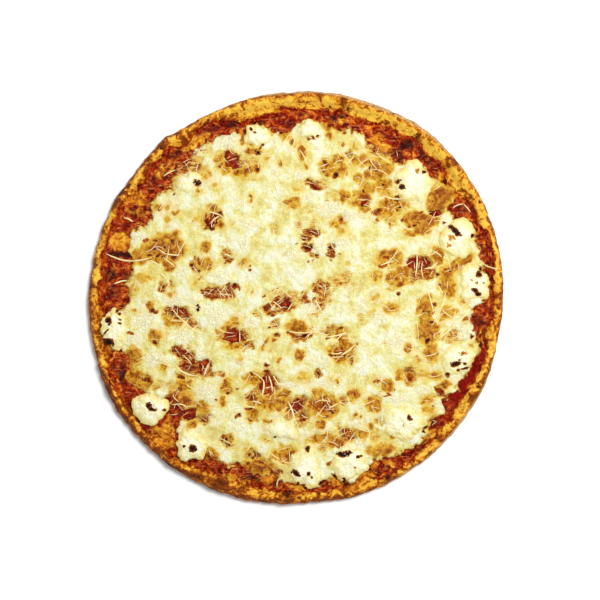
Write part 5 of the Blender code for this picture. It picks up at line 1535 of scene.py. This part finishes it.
class PIZZA_OT_grate_shreds(bpy.types.Operator):
    """Lay grated shreds over the cheese"""

    bl_idname = "pizza.grate_shreds"
    bl_label = "Grate shreds"

    station = 1.2
    sides = 6

    def execute(self, context):
        settings = context.scene.pizza_shreds
        height = laid_surface()
        rng = random.Random(SHRED_SEED)
        rows = list(SHREDS) + [self.fine_shred(rng) for _ in range(settings.shreds)]
        rows += [thread for gap in GAPS for thread in self.threads_over(gap, rng)]
        points, faces, toast = [], [], []
        for row in rows:
            tube = self.tube(row, height, rng)
            faces += moved_faces(ring_faces(len(tube), self.sides), len(points))
            points += tube.reshape(-1, 3).tolist()
            toast += [0.25 * rng.random() ** 3] * (len(tube) * self.sides)
        finish = shred_finish(settings)
        piece = make_piece("grated_shreds", points, faces, {"toast": toast}, finish)
        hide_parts("melted_cheese")
        return {"FINISHED"}

    def fine_shred(self, rng):
        """A thin shred somewhere on the sheet."""
        radius, angle = FINE_SHRED_REACH * math.sqrt(rng.random()), rng.uniform(0, 2 * math.pi)
        length, heading = rng.uniform(6, 17), rng.uniform(0, 2 * math.pi)
        ends = self.ends(radius * math.cos(angle), radius * math.sin(angle), length, heading)
        return *ends, rng.uniform(-2.2, 2.2), rng.uniform(0.45, 0.75)

    def threads_over(self, gap, rng):
        """Fine strings of cheese across a gap and its edges."""
        x, y, half_length, half_width, _, _ = gap
        for _ in range(round(half_length * half_width / 8)):
            length, heading = rng.uniform(3, 8), rng.uniform(0, 2 * math.pi)
            across, up = rng.gauss(0, 0.6) * half_length, rng.gauss(0, 0.6) * half_width
            ends = self.ends(x + across, y + up, length, heading)
            if max(math.hypot(*ends[:2]), math.hypot(*ends[2:])) < THREAD_REACH:
                yield *ends, rng.uniform(-0.7, 0.7), rng.uniform(0.3, 0.5)

    def ends(self, x, y, length, heading):
        """Both ends, as x, y, x, y, of a straight line about its middle."""
        across, up = 0.5 * length * math.cos(heading), 0.5 * length * math.sin(heading)
        return x - across, y - up, x + across, y + up

    def tube(self, row, height, rng):
        """Rings of a bowed and slightly crooked strip, thinner at its ends, on what lies below."""
        x0, y0, x1, y1, bow, width = row
        length = math.hypot(x1 - x0, y1 - y0)
        share = np.linspace(0, 1, max(4, round(length / self.station)))
        left = np.array((y0 - y1, x1 - x0)) / length
        crooked = 0.35 * soft_noise(share * length, 0 * share, 5.0, rng.uniform(0, 90))
        side = 4 * bow * share * (1 - share) + crooked
        x = x0 + (x1 - x0) * share + left[0] * side
        y = y0 + (y1 - y0) * share + left[1] * side
        low = np.array([height(*place) for place in zip(x, y)])
        low = np.convolve(np.pad(low, 1, "edge"), (0.25, 0.5, 0.25), "valid")
        half = 0.5 * width * (1 - 0.75 * np.abs(2 * share - 1) ** 4)[:, None]
        turn = np.arange(self.sides) * 2 * np.pi / self.sides
        across = half * np.cos(turn)
        up = low[:, None] + half * (0.35 + 0.75 * np.sin(turn))
        x, y = x[:, None] + left[0] * across, y[:, None] + left[1] * across
        return np.stack([x, y, up], axis=-1)


def fleck_finish(settings):
    """Scorched flecks: black in the middle of a burnt one, golden brown at a light one's edge."""
    recipe = Recipe("scorched flecks")
    grain = recipe.grain(1.2, 3, 0.6)
    burn = recipe.spread(recipe.sum(recipe.kept("burn"), recipe.times(grain, 0.5)), 0.1, 1.35)
    colour = recipe.ramp(
        burn,
        (0.1, tint(228, 164, 48)),
        (0.3, tint(176, 92, 20)),
        (0.5, tint(100, 38, 14)),
        (0.72, settings.char),
    )
    recipe.bump(grain, 0.2)
    return recipe.finish(Base_Color=colour, Roughness=0.35, Specular_IOR_Level=0.08)


class PIZZA_OT_scorch_flecks(bpy.types.Operator):
    """Lay the scorched flecks on the dollops and the sheet"""

    bl_idname = "pizza.scorch_flecks"
    bl_label = "Scorch flecks"

    sides = 22
    rings = ((1.0, -0.18), (0.88, 0.15), (0.66, 0.36), (0.36, 0.5), (0.1, 0.5))

    def execute(self, context):
        settings = context.scene.pizza_shreds
        height = laid_surface()
        rng = random.Random(FLECK_SEED)
        rows = [crumb for row in FLECKS for crumb in self.broken(row, rng)]
        points, burns, faces = [], [], []
        for number, row in enumerate(rows):
            faces += moved_faces(ring_faces(len(self.rings), self.sides), len(points))
            for share, above in self.rings:
                for x, y in self.outline(row, share, number):
                    points.append((x, y, height(x, y) + above))
                    burns.append(row[-1] * (0.55 + 0.45 * (1 - share) ** 0.5))
        finish = fleck_finish(settings)
        piece = make_piece("scorched_flecks", points, faces, {"burn": burns}, finish)
        return {"FINISHED"}

    def broken(self, row, rng):
        """One fleck as a main crumb and a few small ones against it."""
        centre_x, centre_y, half_length, half_width, heading, burn = row
        yield centre_x, centre_y, 0.74 * half_length, 0.64 * half_width, heading, burn
        for _ in range(min(5, round(2 * half_length))):
            side, along = rng.uniform(-1, 1) * half_width, rng.uniform(-1.1, 1.1) * half_length
            small = rng.uniform(0.2, 0.42) * half_width
            x, y = oval_place(row, along, side)
            yield x, y, 1.6 * small, small, rng.uniform(0, 180), rng.uniform(0.6, 1) * burn

    def outline(self, row, share, number):
        """Places round a crumb, this share of the way from its middle to its edge."""
        phi = np.arange(self.sides) * 2 * np.pi / self.sides
        ragged = 1 + 0.6 * soft_noise(2.2 * np.cos(phi), 2.2 * np.sin(phi), 1.0, number * 1.7, 3)
        along = share * row[2] * ragged * np.cos(phi)
        side = share * row[3] * ragged * np.sin(phi)
        x, y = oval_place(row, along, side)
        return zip(x.tolist(), y.tolist())


# --- Stage ----------------------------------------------------------------------------------------


class PIZZA_OT_set_stage(bpy.types.Operator):
    """Set out the floor, the light and the camera overhead"""

    bl_idname = "pizza.set_stage"
    bl_label = "Set stage"

    def execute(self, context):
        settings = context.scene.pizza_stage
        self.lay_floor(settings)
        self.light(context.scene, settings)
        self.hang_camera(context.scene, settings)
        context.scene.view_settings.view_transform = "Standard"
        return {"FINISHED"}

    def lay_floor(self, settings):
        mesh = bpy.data.meshes.new("floor")
        sides = ((-1, -1), (1, -1), (1, 1), (-1, 1))
        corners = [(x * GROUND_REACH, y * GROUND_REACH, -GROUND_DROP) for x, y in sides]
        mesh.from_pydata(corners, [], [(0, 1, 2, 3)])
        recipe = Recipe("floor")
        mesh.materials.append(recipe.finish(Base_Color=settings.floor, Roughness=0.8))
        floor = bpy.data.objects.new("floor", mesh)
        bpy.context.scene.collection.objects.link(floor)

    def light(self, scene, settings):
        scene.world = self.surroundings(settings)
        lamp = bpy.data.lights.new("lamp", "AREA")
        lamp.size = LAMP_SIZE
        lamp.energy = settings.lamp
        hung = bpy.data.objects.new("lamp", lamp)
        hung.location = LAMP_PLACE
        hung.rotation_euler = Vector(hung.location).to_track_quat("Z", "Y").to_euler()
        scene.collection.objects.link(hung)

    def surroundings(self, settings):
        """Even light from the walls under a dim ceiling, so that what is wet stays deep in colour."""
        world = bpy.data.worlds.new("studio")
        world.use_nodes = True
        nodes, links = world.node_tree.nodes, world.node_tree.links
        direction = nodes.new("ShaderNodeTexCoord").outputs["Generated"]
        parts = nodes.new("ShaderNodeSeparateXYZ")
        links.new(direction, parts.inputs[0])
        strength = nodes.new("ShaderNodeMapRange")
        limits = (WALL_END, CEILING_START, settings.fill, settings.ceiling * settings.fill)
        for socket, number in zip(list(strength.inputs)[1:5], limits):
            socket.default_value = number
        links.new(parts.outputs["Z"], strength.inputs[0])
        links.new(strength.outputs[0], nodes["Background"].inputs["Strength"])
        nodes["Background"].inputs["Color"].default_value = (1, 1, 1, 1)
        return world

    def hang_camera(self, scene, settings):
        eye = bpy.data.cameras.new("camera")
        eye.lens = settings.lens
        eye.sensor_width = SENSOR_WIDTH
        camera = bpy.data.objects.new("camera", eye)
        above = settings.view_width * settings.lens / SENSOR_WIDTH + CREST_INSET * MM
        camera.location = (CAMERA_SHIFT - MIDDLE_X * MM, -MIDDLE_Y * MM, above)
        scene.collection.objects.link(camera)
        scene.camera = camera


# --- Panel and running ----------------------------------------------------------------------------

OPERATORS = (
    PIZZA_OT_bake_crust,
    PIZZA_OT_spread_sauce,
    PIZZA_OT_melt_cheese,
    PIZZA_OT_spoon_soft_cheese,
    PIZZA_OT_grate_shreds,
    PIZZA_OT_scorch_flecks,
    PIZZA_OT_set_stage,
)
SETTINGS = {
    "pizza_dough": PizzaDoughSettings,
    "pizza_sauce": PizzaSauceSettings,
    "pizza_melted": PizzaMeltedSettings,
    "pizza_soft": PizzaSoftSettings,
    "pizza_shreds": PizzaShredSettings,
    "pizza_stage": PizzaStageSettings,
}


class PIZZA_PT_panel(bpy.types.Panel):
    """Lists the steps of the pizza in the order they are made."""

    bl_idname = "PIZZA_PT_panel"
    bl_label = "Pizza"
    bl_space_type = "VIEW_3D"
    bl_region_type = "UI"
    bl_category = "Pizza"

    def draw(self, context):
        for step in OPERATORS:
            self.layout.operator(step.bl_idname)
        for key, group in SETTINGS.items():
            box = self.layout.box()
            for name in group.__annotations__:
                box.prop(getattr(context.scene, key), name)


def register():
    for key, group in SETTINGS.items():
        bpy.utils.register_class(group)
        setattr(bpy.types.Scene, key, PointerProperty(type=group))
    for made in (*OPERATORS, PIZZA_PT_panel):
        bpy.utils.register_class(made)


def unregister():
    for made in (PIZZA_PT_panel, *reversed(OPERATORS)):
        bpy.utils.unregister_class(made)
    for key, group in reversed(SETTINGS.items()):
        delattr(bpy.types.Scene, key)
        bpy.utils.unregister_class(group)


def main():
    register()
    bpy.ops.pizza.bake_crust()
    bpy.ops.pizza.spread_sauce()
    bpy.ops.pizza.melt_cheese()
    bpy.ops.pizza.spoon_soft_cheese()
    bpy.ops.pizza.grate_shreds()
    bpy.ops.pizza.scorch_flecks()
    bpy.ops.pizza.set_stage()


if __name__ == "__main__":
    main()
